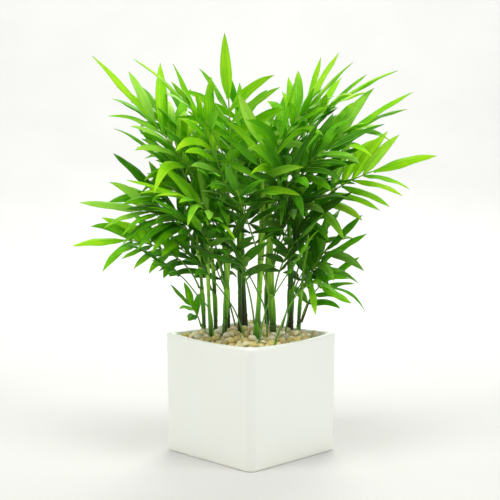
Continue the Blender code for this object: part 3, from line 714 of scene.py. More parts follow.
# foot (u, v), top (u, v, z), radius at the foot
CANES = [
    ((-0.057, 0.018), (-0.064, 0.012, 0.245), 0.0026),
    ((-0.047, 0.001), (-0.051, -0.004, 0.270), 0.0024),
    ((-0.034, -0.008), (-0.027, -0.012, 0.290), 0.0032),
    ((-0.006, 0.045), (-0.012, 0.050, 0.320), 0.0042),
    ((0.004, -0.026), (0.015, -0.028, 0.315), 0.0033),
    ((0.029, 0.012), (0.023, 0.008, 0.305), 0.0040),
    ((0.048, 0.032), (0.046, 0.034, 0.290), 0.0042),
    ((0.057, 0.014), (0.067, 0.012, 0.240), 0.0024),
    ((-0.028, 0.040), (-0.036, 0.046, 0.290), 0.0030),
    ((0.020, 0.058), (0.026, 0.064, 0.310), 0.0032),
    ((-0.014, 0.010), (-0.017, 0.004, 0.320), 0.0028),
    ((0.010, 0.028), (0.014, 0.024, 0.310), 0.0026),
    ((-0.043, 0.024), (-0.050, 0.030, 0.265), 0.0026),
]


def cane_centre(cane, height):
    """Centre of a cane at a height: a lean from foot to top with a slight bow."""
    (foot_u, foot_v), (top_u, top_v, top_z), radius = CANES[cane]
    share = (height - SOIL_TOP) / (top_z - SOIL_TOP)
    bow = CANE_BOW * math.sin(math.pi * share) * (-1) ** cane
    return place(foot_u + (top_u - foot_u) * share + bow, foot_v + (top_v - foot_v) * share, height)


def cane_radius(cane, height):
    top_z, radius = CANES[cane][1][2], CANES[cane][2]
    share = max(0.0, (height - SOIL_TOP) / (top_z - SOIL_TOP))
    return radius * (1.0 - (1.0 - CANE_TIP_SCALE) * share)


def cane_rings(cane):
    """Heights of the rings on a cane."""
    low = SOIL_TOP + CANE_RING_PITCH * (FIRST_RING + FIRST_RING_STEP * (cane % 5))
    top = CANES[cane][1][2]
    count = round((top - low) / CANE_RING_PITCH)
    return [low + (top - low) * i / count for i in range(count + 1)]


print("canes", len(CANES), "rings", sum(len(cane_rings(c)) for c in range(len(CANES))))

# %% [markdown]
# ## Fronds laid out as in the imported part
#
# The part places each frond by a rule: a curved midrib from a ring of its cane to a
# chosen tip, then pairs of leaflets at even spacing, each bent a little until it is
# clear of its neighbours. The same rule is written here once more. It offers every way
# a midrib or leaflet may have been set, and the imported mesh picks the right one: the
# way whose corners lie on the mesh's own vertices. So the fine blades sit exactly where
# the plain solids are, with no fitting by eye.

# %% Tables of fronds
# cane, height where it leaves it, tip (u, v, z), droop of the tip, how far its upper
# face turns to the near side, pairs of leaflets, leaflet length, age tone
FRONDS = [
    # left side, top to bottom
    (2, 0.262, (-0.173, -0.020, 0.488), -0.15, 0.6, 5, 0.096, 0.84),
    (10, 0.300, (-0.030, -0.034, 0.503), 0.00, 0.0, 4, 0.078, 1.00),
    (12, 0.240, (-0.122, 0.030, 0.480), 0.05, 0.9, 6, 0.078, 0.94),
    (10, 0.262, (-0.086, -0.040, 0.470), 0.10, 1.1, 5, 0.086, 0.88),
    (8, 0.232, (-0.138, 0.046, 0.392), 0.30, 0.7, 6, 0.072, 0.66),
    (0, 0.222, (-0.168, -0.005, 0.360), 0.35, 1.1, 6, 0.074, 0.62),
    (1, 0.215, (-0.202, -0.025, 0.304), 0.45, 1.0, 6, 0.074, 0.80),
    (0, 0.196, (-0.208, -0.030, 0.246), 0.95, 0.8, 6, 0.062, 0.84),
    (0, 0.172, (-0.100, -0.008, 0.202), 0.40, 0.8, 2, 0.044, 0.82),
    (12, 0.186, (-0.146, 0.056, 0.258), 0.60, 0.6, 5, 0.060, 0.60),
    (2, 0.232, (-0.146, -0.075, 0.330), 0.50, 0.5, 6, 0.074, 0.86),
    (1, 0.248, (-0.100, -0.062, 0.366), 0.40, 0.6, 5, 0.070, 0.68),
    # right side, top to bottom
    (11, 0.292, (0.102, 0.006, 0.482), 0.20, 0.9, 5, 0.074, 0.86),
    (9, 0.288, (0.084, 0.050, 0.478), 0.10, 0.7, 5, 0.072, 0.86),
    (9, 0.262, (0.144, 0.050, 0.440), 0.75, 0.6, 6, 0.076, 0.78),
    (5, 0.282, (0.184, -0.018, 0.446), 0.10, 0.7, 5, 0.092, 0.78),
    (6, 0.240, (0.224, 0.012, 0.362), 0.35, 1.3, 6, 0.080, 1.00),
    (5, 0.258, (0.158, -0.040, 0.390), 0.60, 0.9, 6, 0.076, 0.58),
    (6, 0.222, (0.122, 0.008, 0.318), 0.10, 1.1, 5, 0.066, 0.56),
    (7, 0.212, (0.132, -0.010, 0.290), 0.20, 1.0, 4, 0.060, 0.62),
    (7, 0.192, (0.136, 0.004, 0.260), 0.25, 1.0, 4, 0.058, 0.70),
    (7, 0.176, (0.136, 0.024, 0.232), 0.35, 0.9, 3, 0.054, 0.76),
    (7, 0.162, (0.118, -0.016, 0.180), 1.40, 0.5, 1, 0.048, 0.84),
    # middle and front
    (4, 0.302, (0.048, -0.048, 0.446), 0.10, 0.0, 4, 0.070, 0.98),
    (4, 0.284, (0.008, -0.062, 0.438), 0.20, 0.0, 4, 0.062, 0.96),
    (4, 0.262, (0.078, -0.096, 0.392), 0.50, 0.0, 6, 0.072, 0.58),
    (5, 0.236, (0.104, -0.082, 0.342), 0.50, 0.4, 6, 0.072, 0.48),
    (5, 0.196, (-0.026, -0.118, 0.362), 0.20, 0.0, 6, 0.056, 0.58),
    (10, 0.240, (-0.088, -0.084, 0.400), 0.45, 0.3, 6, 0.068, 0.66),
    (2, 0.206, (-0.112, -0.108, 0.310), 0.60, 0.2, 5, 0.062, 0.66),
    (4, 0.168, (-0.050, -0.080, 0.322), 0.25, 0.0, 4, 0.056, 0.48),
    (5, 0.170, (0.084, -0.064, 0.296), 0.35, 0.3, 4, 0.058, 0.50),
    # far side
    (3, 0.300, (-0.014, 0.086, 0.448), 0.20, -0.2, 5, 0.076, 0.66),
    (3, 0.270, (-0.050, 0.150, 0.420), 0.45, -0.3, 5, 0.074, 0.62),
    (8, 0.266, (-0.098, 0.110, 0.442), 0.25, 0.0, 5, 0.076, 0.68),
    (8, 0.204, (-0.112, 0.130, 0.336), 0.55, 0.0, 5, 0.068, 0.46),
    (9, 0.240, (0.062, 0.160, 0.408), 0.45, -0.3, 5, 0.074, 0.62),
    (9, 0.212, (0.116, 0.130, 0.340), 0.50, 0.0, 5, 0.070, 0.50),
    (3, 0.232, (0.010, 0.172, 0.340), 0.60, -0.3, 5, 0.068, 0.50),
    (6, 0.262, (0.134, 0.080, 0.420), 0.40, 0.4, 5, 0.074, 0.62),
    (11, 0.262, (0.044, 0.100, 0.436), 0.25, 0.0, 5, 0.074, 0.68),
    (6, 0.202, (0.128, 0.090, 0.284), 0.55, 0.3, 4, 0.060, 0.42),
]
BOWS = (0.0, 0.04, -0.04, 0.08, -0.08, 0.13, -0.13, 0.18, -0.18, 0.24, -0.24)
RING_SHIFTS = (0, 1, -1, 2, -2)
ROOT_TURN = 4.0
LEAF_BENDS = (
    (0, 0), (0, 6), (0, -6), (5, 3), (-5, 3), (0, 12), (0, -12), (9, 6), (-9, 6), (9, -8),
    (-9, -8), (6, 16), (-6, 16), (6, -16), (-6, -16), (0, 24), (0, -24),
    (16, 18), (-16, 18), (16, -18), (-16, -18), (0, 38), (0, -38), (24, 30), (-20, 30),
    (24, -30), (-20, -30),
)
LEAF_LENGTHS = (1.0, 0.86, 0.72, 0.58, 0.44)

RACHIS_THICKNESS, RACHIS_HALF_WIDTH, RACHIS_END_SCALE = 0.0022, 0.0011, 0.75
RACHIS_SAMPLES = 48
ROOT_SPREAD, ROOT_REACH, TIP_REACH = 0.22, 0.38, 0.34
END_LEAF_SHARE, BLADED_SHARE, BLADE_LEAN = 0.55, 0.62, 0.8
LEAF_PITCH, LEAF_FOOT, LEAF_WIDTH, WIDTH_LEAF = 0.0155, 0.0045, 0.0138, 0.075
LEAF_ANGLES, LEAF_ANGLE_SPREAD, LEAF_TAPER = (64.0, 30.0), 5.0, 0.20
LEAF_LIFTS, LEAF_DROOPS, END_LEAF_DROOPS = (6.0, 20.0), (0.18, 0.50), (0.08, 0.16)
LEAF_LOUVRE = 20.0
LEAF_ROWS = ((0.34, 1.0), (0.70, 0.78), (1.0, 0.0))
print("fronds", len(FRONDS), "leaflets planned", sum(2 * f[5] + 1 for f in FRONDS))

# %% The frond rule
class Rachis:
    """The midrib of a frond: a curve from its cane to the start of its end leaflet."""

    def __init__(self, frond, bow, ring_shift):
        cane, height, tip, droop, facing, self.pairs, self.leaf, self.age = FRONDS[frond]
        target = place(*tip)
        foot, upward = self.ring_on(cane, height, ring_shift)
        outward = Vector((target.x - foot.x, target.y - foot.y, 0)).normalized()
        offset = cane_radius(cane, foot.z) * CANE_RING_SWELL + RACHIS_THICKNESS / 2 + GAP
        foot = foot + Matrix.Rotation(ROOT_TURN * bow, 3, "Z") @ outward * offset
        chord = target - foot
        sideways = Vector((-outward.y, outward.x, 0)) * bow * chord.length
        start = (upward + outward * ROOT_SPREAD).normalized() * ROOT_REACH * chord.length
        end = (chord.normalized() - Vector((0, 0, droop))).normalized()
        end = end * TIP_REACH * chord.length
        self.ends = (foot, foot + start + sideways, target - end + sideways, target)
        self.lean = Vector((0, 0, 1)) - outward * BLADE_LEAN + place(0, -facing, 0)
        self.points = [self.at(i / RACHIS_SAMPLES) for i in range(RACHIS_SAMPLES + 1)]
        self.distances = [0.0]
        for a, b in zip(self.points, self.points[1:]):
            self.distances.append(self.distances[-1] + (b - a).length)
        self.total = self.distances[-1]
        self.end_leaf = min(self.leaf, self.total * END_LEAF_SHARE)
        self.length = self.total - self.end_leaf
        self.pitch = min(LEAF_PITCH, BLADED_SHARE * self.length / self.pairs)
        self.first = self.length - self.pairs * self.pitch

    @staticmethod
    def ring_on(cane, height, ring_shift):
        rings = cane_rings(cane)
        nearest = min(range(len(rings)), key=lambda ring: abs(rings[ring] - height))
        ring = rings[max(0, min(nearest + ring_shift, len(rings) - 1))]
        centre = cane_centre(cane, ring)
        return centre, (cane_centre(cane, ring + LEAF_PITCH) - centre).normalized()

    def at(self, t):
        a, b, c, d = self.ends
        s = 1.0 - t
        return a * s ** 3 + b * 3 * s * s * t + c * 3 * s * t * t + d * t ** 3

    def frame(self, distance):
        """Point, direction, side and upper face of the frond at a distance along it."""
        i = min(bisect.bisect_left(self.distances, distance, 1), RACHIS_SAMPLES) - 1
        a, b = self.points[i], self.points[i + 1]
        point = a.lerp(b, (distance - self.distances[i]) / (b - a).length)
        before, after = self.points[max(i - 1, 0)], self.points[min(i + 2, RACHIS_SAMPLES)]
        along = (after - before).normalized()
        face = (self.lean - along * self.lean.dot(along)).normalized()
        return point, along, along.cross(face), face

    def half_width(self, distance):
        return RACHIS_HALF_WIDTH * (1 - (1 - RACHIS_END_SCALE) * distance / self.length)

    def corners(self):
        """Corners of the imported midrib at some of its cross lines."""
        found = []
        marks = [0.0, self.length] + [self.first + pair * self.pitch for pair in range(self.pairs)]
        for mark in marks:
            point, along, side, face = self.frame(mark)
            reach = side * self.half_width(mark)
            found += [point - reach, point + reach]
        return found


def leaflet_ways(rachis, pair, side, draw):
    """Each way the part may have set one leaflet: foot, direction, across, droop, size."""
    share = (pair + 0.5) / rachis.pairs
    angle = LEAF_ANGLES[0] + (LEAF_ANGLES[1] - LEAF_ANGLES[0]) * share
    angle += draw.uniform(-LEAF_ANGLE_SPREAD, LEAF_ANGLE_SPREAD)
    size = rachis.leaf * (1.0 - LEAF_TAPER * (2 * share - 1) ** 2) * draw.uniform(0.94, 1.06)
    width = LEAF_WIDTH * draw.uniform(0.9, 1.1) * math.sqrt(rachis.leaf / WIDTH_LEAF)
    lift, droop = draw.uniform(*LEAF_LIFTS), draw.uniform(*LEAF_DROOPS)
    near = rachis.first + pair * rachis.pitch
    feet = []
    for mark in (near, near + LEAF_FOOT):
        point, along, across, face = rachis.frame(mark)
        feet.append(point + across * side * rachis.half_width(mark))
    slant = face * math.tan(math.radians(LEAF_LOUVRE))
    for length in LEAF_LENGTHS:
        for swing, bend in LEAF_BENDS:
            turn, rise = math.radians(angle + swing), math.radians(lift + bend)
            flat = along * math.cos(turn) + across * side * math.sin(turn)
            ahead = (flat * math.cos(rise) + face * math.sin(rise)).normalized()
            wide = (along - ahead * along.dot(ahead)).normalized() - slant
            wide = (wide - ahead * wide.dot(ahead)).normalized()
            yield feet, ahead, wide, droop, size * length, width


def end_leaf_ways(rachis, draw):
    """Each way the part may have set the leaflet at the frond's tip."""
    point, along, across, face = rachis.frame(rachis.length)
    reach = across * rachis.half_width(rachis.length)
    width = LEAF_WIDTH * draw.uniform(1.0, 1.2) * math.sqrt(rachis.leaf / WIDTH_LEAF)
    droop = draw.uniform(*END_LEAF_DROOPS)
    for length in LEAF_LENGTHS:
        for swing, bend in LEAF_BENDS:
            turn, rise = math.radians(swing), math.radians(bend / 2)
            flat = along * math.cos(turn) + across * math.sin(turn)
            ahead = (flat * math.cos(rise) + face * math.sin(rise)).normalized()
            wide = (across - ahead * across.dot(ahead)).normalized()
            yield (point - reach, point + reach), ahead, wide, droop, rachis.end_leaf * length, width


def leaflet_corners(way):
    """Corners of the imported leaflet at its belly, shoulder and tip."""
    (left, right), ahead, wide, droop, length, width = way
    start = (left + right) / 2
    found = []
    for share, fullness in LEAF_ROWS:
        centre = start + (ahead - Vector((0, 0, droop * share))).normalized() * length * share
        found += [centre - wide * width * fullness / 2, centre + wide * width * fullness / 2]
    return found


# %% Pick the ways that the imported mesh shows
MATCH = 0.0009


def vertex_tree(node):
    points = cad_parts[node].data.vertices
    tree = KDTree(len(points))
    for i, point in enumerate(points):
        tree.insert(point.co, i)
    tree.balance()
    return tree


def misfit(tree, corners, limit):
    """The largest distance from a corner to the mesh, or more than the limit once past it."""
    worst = 0.0
    for corner in corners:
        worst = max(worst, tree.find(corner)[2])
        if worst > limit:
            break
    return worst


def best_way(tree, ways, corners_of, limit):
    """The way that lies closest to the mesh, and its misfit."""
    best, best_misfit = None, limit
    for way in ways:
        found = misfit(tree, corners_of(way), best_misfit)
        if found < best_misfit:
            best, best_misfit = way, found
    return best, best_misfit


def read_frond(frond):
    """Midrib and leaflets of one packed frond, as (rachis, [(pair, side, way)])."""
    tree = vertex_tree(f"frond_{frond + 1:02d}")
    ribs = (Rachis(frond, bow, shift) for shift, bow in itertools.product(RING_SHIFTS, BOWS))
    rachis, rib_misfit = best_way(tree, ribs, Rachis.corners, 2 * RACHIS_THICKNESS)
    leaves = [(rachis.pairs, 0, end_leaf_ways(rachis, random.Random(f"frond {frond}")))]
    for pair in range(rachis.pairs):
        for side in (-1, 1):
            seeded = random.Random(f"leaflet {frond} {pair} {side}")
            leaves.append((pair, side, leaflet_ways(rachis, pair, side, seeded)))
    found = []
    for pair, side, ways in leaves:
        way, way_misfit = best_way(tree, ways, leaflet_corners, MATCH)
        if way:
            found.append((pair, side, way))
    return rachis, found, rib_misfit


plants = [read_frond(frond) for frond in range(len(FRONDS))]
print("leaflets read from the packed part", sum(len(p[1]) for p in plants),
      "largest midrib misfit mm", round(1000 * max(p[2] for p in plants), 2))

# %% [markdown]
# ## Fine leaflets
#
# A parlor palm leaflet is a narrow blade, widest before its middle and drawn out to a
# soft point. It is creased like a low tent along its midrib near the foot, flattens
# towards the tip, and has a few parallel ridges and a gently wavy edge. Each blade is a
# grid of 17 rows and 9 columns with a real thickness, shaped by those few rules.

# %% Blade shape
BLADE_ROWS = np.array([0.0, 0.02, 0.05, 0.09, 0.15, 0.22, 0.30, 0.38, 0.46, 0.54, 0.62, 0.70, 0.78,
                       0.85, 0.91, 0.96, 1.0])
BLADE_COLUMNS = np.linspace(-1.0, 1.0, 9)
FULLNESS = ((0.0, 0.30), (0.05, 0.34), (0.12, 0.60), (0.22, 0.87), (0.34, 1.0), (0.48, 1.0),
            (0.60, 0.92), (0.72, 0.76), (0.84, 0.52), (0.93, 0.27), (1.0, 0.03))
BLADE_THICKNESS = 0.00042
FOLD_FOOT, FOLD_TIP = 0.70, 0.36
RIDGE_HEIGHT, RIDGES = 0.00050, 2.5
RIPPLE = 0.0008
TIP_ARCH, HOOKED_ARCH, HOOKED_SHARE = (0.00, 0.14), (0.4, 0.9), 0.08
BLADE_WIDTH_SHARE = 0.88
UPRIGHT_HEIGHT = 0.46
# blades deep inside the clump get darker: painted shade, on top of the deeper green of older inner leaves
CLUMP_REACH, CLUMP_TOP, PAINTED_CLUMP_SHADE, TONE_SPREAD = 0.080, 0.43, 0.20, 0.16


def unit(v):
    return v / np.linalg.norm(v, axis=-1, keepdims=True)


def blade_grid(way, upper, draw, may_hook):
    """Middle surface and upper direction of one blade, (rows, columns, 3) each."""
    feet, ahead, wide, droop, length, width = way
    left, right = np.array(feet[0]), np.array(feet[1])
    start, ahead, wide = (left + right) / 2, np.array(ahead), np.array(wide)
    if np.cross(wide, ahead) @ upper < 0:
        left, right, wide = right, left, -wide
    t = BLADE_ROWS[:, None]
    lean = unit(ahead - np.array([0, 0, 1.0]) * droop * t)
    hooked = draw.random() < HOOKED_SHARE and may_hook
    bend = draw.uniform(*(HOOKED_ARCH if hooked else TIP_ARCH))
    bend *= min(1.0, max(0.0, (UPRIGHT_HEIGHT - start[2]) / 0.12))
    arch = bend * length * np.clip(t - 0.40, 0, None) ** 2
    reach = length * (t - 0.22 * bend * np.clip(t - 0.40, 0, None) ** 2)
    centre = start + lean * reach - np.array([0, 0, 1.0]) * arch
    along = unit(np.gradient(centre, BLADE_ROWS, axis=0))
    foot_across = (right - left) / np.linalg.norm(right - left)
    hold = np.clip(1 - t / 0.14, 0, 1) ** 2 * 0.8
    across = unit(foot_across * hold + wide * (1 - hold))
    twist = draw.uniform(-0.22, 0.22) * t
    across = unit(across - along * (across * along).sum(1, keepdims=True))
    face = np.cross(across, along)
    across, face = across * np.cos(twist) + face * np.sin(twist), face * np.cos(twist) - across * np.sin(twist)
    fullness = np.interp(BLADE_ROWS, *zip(*FULLNESS))
    half = (width / 2 * BLADE_WIDTH_SHARE * fullness)[:, None]
    s = BLADE_COLUMNS[None, :]
    fold = FOLD_TIP + (FOLD_FOOT - FOLD_TIP) * (1 - BLADE_ROWS[:, None]) ** 2
    rise = -fold * half * (np.sqrt(s * s + 0.02) - 0.14)
    rise = rise + RIDGE_HEIGHT * np.cos(2 * math.pi * RIDGES * s) * np.minimum(1, half / 0.004)
    phase, waves = draw.uniform(0, 6.28), draw.uniform(1.2, 2.2)
    rise = rise + RIPPLE * np.sin(2 * math.pi * waves * BLADE_ROWS[:, None] + phase + s) * s * s * fullness[:, None]
    grid = centre[:, None, :] + across[:, None, :] * (half * s)[..., None] + face[:, None, :] * rise[..., None]
    return grid, np.broadcast_to(face[:, None, :], grid.shape)


def add_blade(shell, way, upper, age, draw, may_hook=True):
    grid, face = blade_grid(way, upper, draw, may_hook)
    edge = 1 - 0.55 * np.abs(BLADE_COLUMNS)[None, :, None] ** 3
    lift = face * BLADE_THICKNESS / 2 * edge
    across, along = np.meshgrid(BLADE_COLUMNS / 2 + 0.5, BLADE_ROWS)
    blade = np.stack([across, along], -1)
    foot = grid[0].mean(0)
    # Painted shade: the nearer a blade's foot lies to the middle of the clump and below its top, the darker its
    # tone.
    clump_shade_depth = math.exp(-(foot[0] ** 2 + foot[1] ** 2) / CLUMP_REACH ** 2) * min(1.0, max(0.0, (CLUMP_TOP - foot[2]) / 0.10))
    age += draw.uniform(-TONE_SPREAD, TONE_SPREAD) - PAINTED_CLUMP_SHADE * clump_shade_depth
    tone = (min(1.0, max(0.0, age)), draw.uniform(0.0, 1.0))
    shell.sheet(grid + lift, grid - lift, blade, tone, 0, 1)


print("blade", len(BLADE_ROWS), "rows", len(BLADE_COLUMNS), "columns")

# %% [markdown]
# ## Petioles and fronds
#
# The petiole is a slender stalk, rounded below and grooved along its upper face. It is
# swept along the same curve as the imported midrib, a little stouter where it leaves its
# sheath and finest at the end leaflet. Stalk and blades of a frond make one piece.

# %% Fronds
STALK_POINTS = 10
STALK_STEP = 0.004
GROOVE = 0.28
PALE_STALKS = {27: 0.35}


def stalk_section(half_wide, half_thick):
    """A round stalk section with a shallow groove on top, as (across, up) pairs."""
    found = []
    for i in range(STALK_POINTS):
        angle = 2 * math.pi * i / STALK_POINTS + math.pi / 2
        across, up = math.cos(angle), math.sin(angle)
        if up > 0:
            up -= GROOVE * math.exp(-(across / 0.4) ** 2)
        found.append((across * half_wide, up * half_thick))
    return found


def add_stalk(shell, rachis, fresh):
    """A stalk along a rachis. fresh is its tone at the foot."""
    count = max(12, int(rachis.length / STALK_STEP))
    rows, tones, blades = [], [], []
    for i in range(count + 1):
        mark = rachis.length * i / count
        point, along, side, face = rachis.frame(mark)
        share = i / count
        root = math.exp(-share * 14)
        half_wide = rachis.half_width(mark) * (1.0 + 0.25 * root)
        half_thick = RACHIS_THICKNESS / 2 * (1.0 - 0.35 * share)
        rows.append([point + side * a + face * b for a, b in stalk_section(half_wide, half_thick)])
        tones.append([(fresh + 0.20 * share, 0.0)] * STALK_POINTS)
        blades.append([(j / STALK_POINTS, share) for j in range(STALK_POINTS)])
    shell.tube(np.array(rows), np.array(blades), np.array(tones), finish=2)


def make_frond(frond):
    rachis, leaves, fit = plants[frond]
    shell = Shell()
    add_stalk(shell, rachis, 0.22 + 0.50 * rachis.age + PALE_STALKS.get(frond, 0.0))
    for pair, side, way in leaves:
        draw = random.Random(f"blade {frond} {pair} {side}")
        upper = np.array(rachis.frame(min(rachis.length, rachis.first + pair * rachis.pitch))[3])
        add_blade(shell, way, upper, rachis.age, draw, may_hook=side != 0)
    return shell.piece(f"palm_frond_{frond + 1:02d}", [leaf_upper, leaf_under, petiole_skin],
                       [f"frond_{frond + 1:02d}"])


fronds = [make_frond(frond) for frond in range(len(FRONDS))]
print("fronds", len(fronds), "triangles", sum(triangles(f) for f in fronds))

# %% [markdown]
# ## Stems with their sheaths
#
# The tone of a cane point runs from 0, dark and woody, to 1, the freshest yellow-green.
# Some stems in the clump are old and brown at the foot, others are fresh right down to
# the stones, so each has its own foot and top tone. Just above the stones every cane is
# darkened further as painted shade.

# %% Canes
CANE_TONES = [(0.40, 0.84), (0.66, 1.00), (0.42, 0.90), (0.06, 0.66), (0.44, 1.20), (0.34, 1.20), (0.08, 0.70),
              (0.36, 0.85), (0.16, 0.64), (0.12, 0.62), (0.16, 0.76), (0.30, 0.90), (0.24, 0.72)]
# the darkening of every cane just above the stones is painted shade
PAINTED_FOOT_SHADE, FOOT_SHADE_LEVEL, FOOT_SHADE_FADE = 0.30, 0.145, 0.016
CANE_POINTS = 16
RING_REACH = 0.0014
SHEATH_LENGTH, SHEATH_WALL = 0.036, 0.0003
SHEATH_FRESH = 0.24
SPEAR_LENGTH = 0.034


def round_row(centre, along, radius, points, squash=1.0, turn=0.0):
    """A ring of points across a stem."""
    side = along.orthogonal().normalized()
    other = along.cross(side)
    angles = [2 * math.pi * j / points + turn for j in range(points)]
    return [centre + side * math.cos(a) * radius + other * math.sin(a) * radius * squash for a in angles]


def cane_heights(cane):
    """Heights up a cane, close together at its rings."""
    low, top = SOIL_TOP - CANE_DEPTH - BORE_OVERRUN + GAP, CANES[cane][1][2]
    heights = list(np.arange(low, top, 0.006)) + [top]
    for ring in cane_rings(cane):
        heights += [ring + RING_REACH * k / 2 for k in range(-3, 4)]
    return sorted(h for h in set(heights) if low <= h <= top)


def cane_point(cane, z):
    """Centre, direction, radius and nearness to a ring."""
    near = max(math.exp(-((z - ring) / RING_REACH) ** 2 * 2) for ring in cane_rings(cane))
    along = (cane_centre(cane, z + 0.004) - cane_centre(cane, z - 0.004)).normalized()
    radius = cane_radius(cane, z) * (1 + (CANE_RING_SWELL - 1) * near)
    return cane_centre(cane, z), along, radius, near


def cane_tone(cane, z):
    low, high = CANE_TONES[cane]
    share = (z - SOIL_TOP) / (CANES[cane][1][2] - SOIL_TOP)
    # Painted shade: the tone drops just above the stones, where they shade the cane's foot.
    stained = PAINTED_FOOT_SHADE * math.exp(-max(0.0, z - FOOT_SHADE_LEVEL) / FOOT_SHADE_FADE)
    return low + (high - low) * min(1.0, max(0.0, share)) ** 0.8 - stained


def add_sheath(shell, cane, rachis):
    """The sleeve below a petiole: snug at its foot, opening to a slanted mouth."""
    mouth = rachis.points[0]
    centre, along, radius, near = cane_point(cane, mouth.z)
    outward = (mouth - centre - along * (mouth - centre).dot(along)).normalized()
    rows, tones = [], []
    steps = 14
    for i in range(steps + 1):
        share = i / steps
        z = mouth.z - SHEATH_LENGTH * (1 - share)
        middle, direction, r, n = cane_point(cane, z)
        swell = 1 + 0.13 * math.sin(math.pi * min(1.0, share)) ** 0.8 + 0.09 * share
        r = cane_radius(cane, z) * swell + SHEATH_WALL * min(1.0, share * 4)
        fresh = cane_tone(cane, z) + SHEATH_FRESH * share ** 0.7
        ring, ring_tones = [], []
        for j, p in enumerate(round_row(middle, direction, r, CANE_POINTS)):
            side = (p - middle).normalized().dot(outward)
            rise = max(0.0, share - 0.75) * 4
            ring.append(p + direction * 0.006 * rise * (side * 0.9 - 0.3)
                        + outward * 0.0009 * rise * max(0.0, side))
            ring_tones.append((fresh - 0.10 * side + 0.05 * math.cos(5 * j), 0.25 * (1 - share) ** 5))
        rows.append(ring)
        tones.append(ring_tones)
    rows = np.array([[tuple(p) for p in row] for row in rows])
    blade = np.zeros((*rows.shape[:2], 2))
    shell.tube(rows, blade, np.array(tones))


def add_spear(shell, cane):
    """The closed young leaf that carries the stem on to a point."""
    top = CANES[cane][1][2]
    base, along, radius, near = cane_point(cane, top)
    rows, tones = [], []
    for i in range(11):
        share = i / 10
        r = cane_radius(cane, top) * (1 - share) ** 0.75 * 0.92 + 0.00015
        bend = place(0.6, 0.2, 0) * 0.003 * share ** 2 * (-1) ** cane
        rows.append([tuple(p) for p in round_row(base + along * SPEAR_LENGTH * share + bend, along, r,
                                                 CANE_POINTS, 0.8)])
        tones.append([(0.85 + 0.15 * share, 0.0)] * CANE_POINTS)
    rows = np.array(rows)
    shell.tube(rows, np.zeros((*rows.shape[:2], 2)), np.array(tones))


def make_cane(cane):
    shell = Shell()
    rows, tones = [], []
    for z in cane_heights(cane):
        centre, along, radius, near = cane_point(cane, z)
        rows.append([tuple(p) for p in round_row(centre, along, radius, CANE_POINTS)])
        tones.append([(cane_tone(cane, z), near)] * CANE_POINTS)
    rows = np.array(rows)
    shell.tube(rows, np.zeros((*rows.shape[:2], 2)), np.array(tones))
    done = []
    for frond, (rachis, leaves, fit) in enumerate(plants):
        mouth = rachis.points[0].z
        if FRONDS[frond][0] == cane and all(abs(mouth - z) > 0.001 for z in done):
            add_sheath(shell, cane, rachis)
            done.append(mouth)
    add_spear(shell, cane)
    return shell.piece(f"palm_cane_{cane + 1:02d}", [cane_skin], [f"cane_{cane + 1:02d}"])


canes = [make_cane(cane) for cane in range(len(CANES))]
print("canes", len(canes), "triangles", sum(triangles(c) for c in canes))

# %% [markdown]
# ## Basal leaves
#
# Between the canes a few thin petioles come straight out of the stones, lean across one
# another and lose themselves in the foliage. Each is a smooth curve through a handful of
# points, with two or three pairs of small dark leaflets near its end. The same stalk and
# blade rules serve here, given a curve of their own and a plain fan of leaflets.

# %% Basal leaves
# points up the petiole (u, v, z), pairs of leaflets, leaflet length, age tone
BASAL_LEAVES = [
    (((-0.004, -0.045, 0.137), (-0.015, -0.046, 0.171), (-0.025, -0.046, 0.190), (-0.043, -0.043, 0.214),
      (-0.066, -0.040, 0.240)), 2, 0.038, 0.54),
    (((0.020, -0.036, 0.137), (0.017, -0.041, 0.178), (0.007, -0.047, 0.204), (-0.012, -0.056, 0.242)),
     2, 0.034, 0.54),
    (((0.008, -0.052, 0.137), (0.018, -0.053, 0.183), (0.031, -0.054, 0.206), (0.054, -0.056, 0.242)),
     2, 0.036, 0.68),
    (((0.026, -0.060, 0.137), (0.040, -0.057, 0.176), (0.054, -0.054, 0.200), (0.074, -0.050, 0.213),
      (0.094, -0.047, 0.208)), 1, 0.040, 0.76),
    (((-0.044, -0.024, 0.137), (-0.048, -0.026, 0.175), (-0.061, -0.028, 0.192), (-0.080, -0.030, 0.216),
      (-0.104, -0.032, 0.234)), 2, 0.042, 0.64),
    (((0.040, -0.004, 0.137), (0.050, -0.006, 0.185), (0.069, -0.008, 0.222)), 1, 0.038, 0.50),
    (((-0.018, 0.062, 0.137), (-0.030, 0.070, 0.180), (-0.048, 0.084, 0.222)), 2, 0.044, 0.36),
    (((0.038, 0.056, 0.137), (0.052, 0.066, 0.182), (0.072, 0.082, 0.220)), 2, 0.044, 0.34),
]
# the same for young leaves near the top, which start inside their stem's sheaths
YOUNG_LEAVES = [
    (((-0.017, 0.002, 0.318), (-0.034, -0.010, 0.364), (-0.056, -0.018, 0.404), (-0.080, -0.022, 0.426)),
     3, 0.062, 1.00),
    (((-0.036, 0.044, 0.288), (-0.056, 0.030, 0.340), (-0.080, 0.020, 0.382), (-0.102, 0.014, 0.400)),
     3, 0.060, 0.98),
    (((-0.050, 0.028, 0.262), (-0.070, 0.024, 0.304), (-0.092, 0.018, 0.340), (-0.110, 0.012, 0.356)),
     3, 0.056, 0.80),
    (((0.014, 0.026, 0.308), (0.028, 0.014, 0.354), (0.048, 0.004, 0.394), (0.070, -0.002, 0.418)),
     3, 0.060, 1.00),
    (((0.026, 0.062, 0.308), (0.052, 0.052, 0.364), (0.082, 0.040, 0.408), (0.110, 0.030, 0.426)),
     3, 0.064, 0.96),
    (((0.046, 0.032, 0.288), (0.068, 0.022, 0.338), (0.096, 0.010, 0.376), (0.122, 0.002, 0.390)),
     3, 0.058, 0.96),
    (((-0.012, 0.048, 0.318), (-0.008, 0.038, 0.360), (-0.010, 0.026, 0.392), (-0.016, 0.014, 0.414)),
     3, 0.054, 0.92),
]


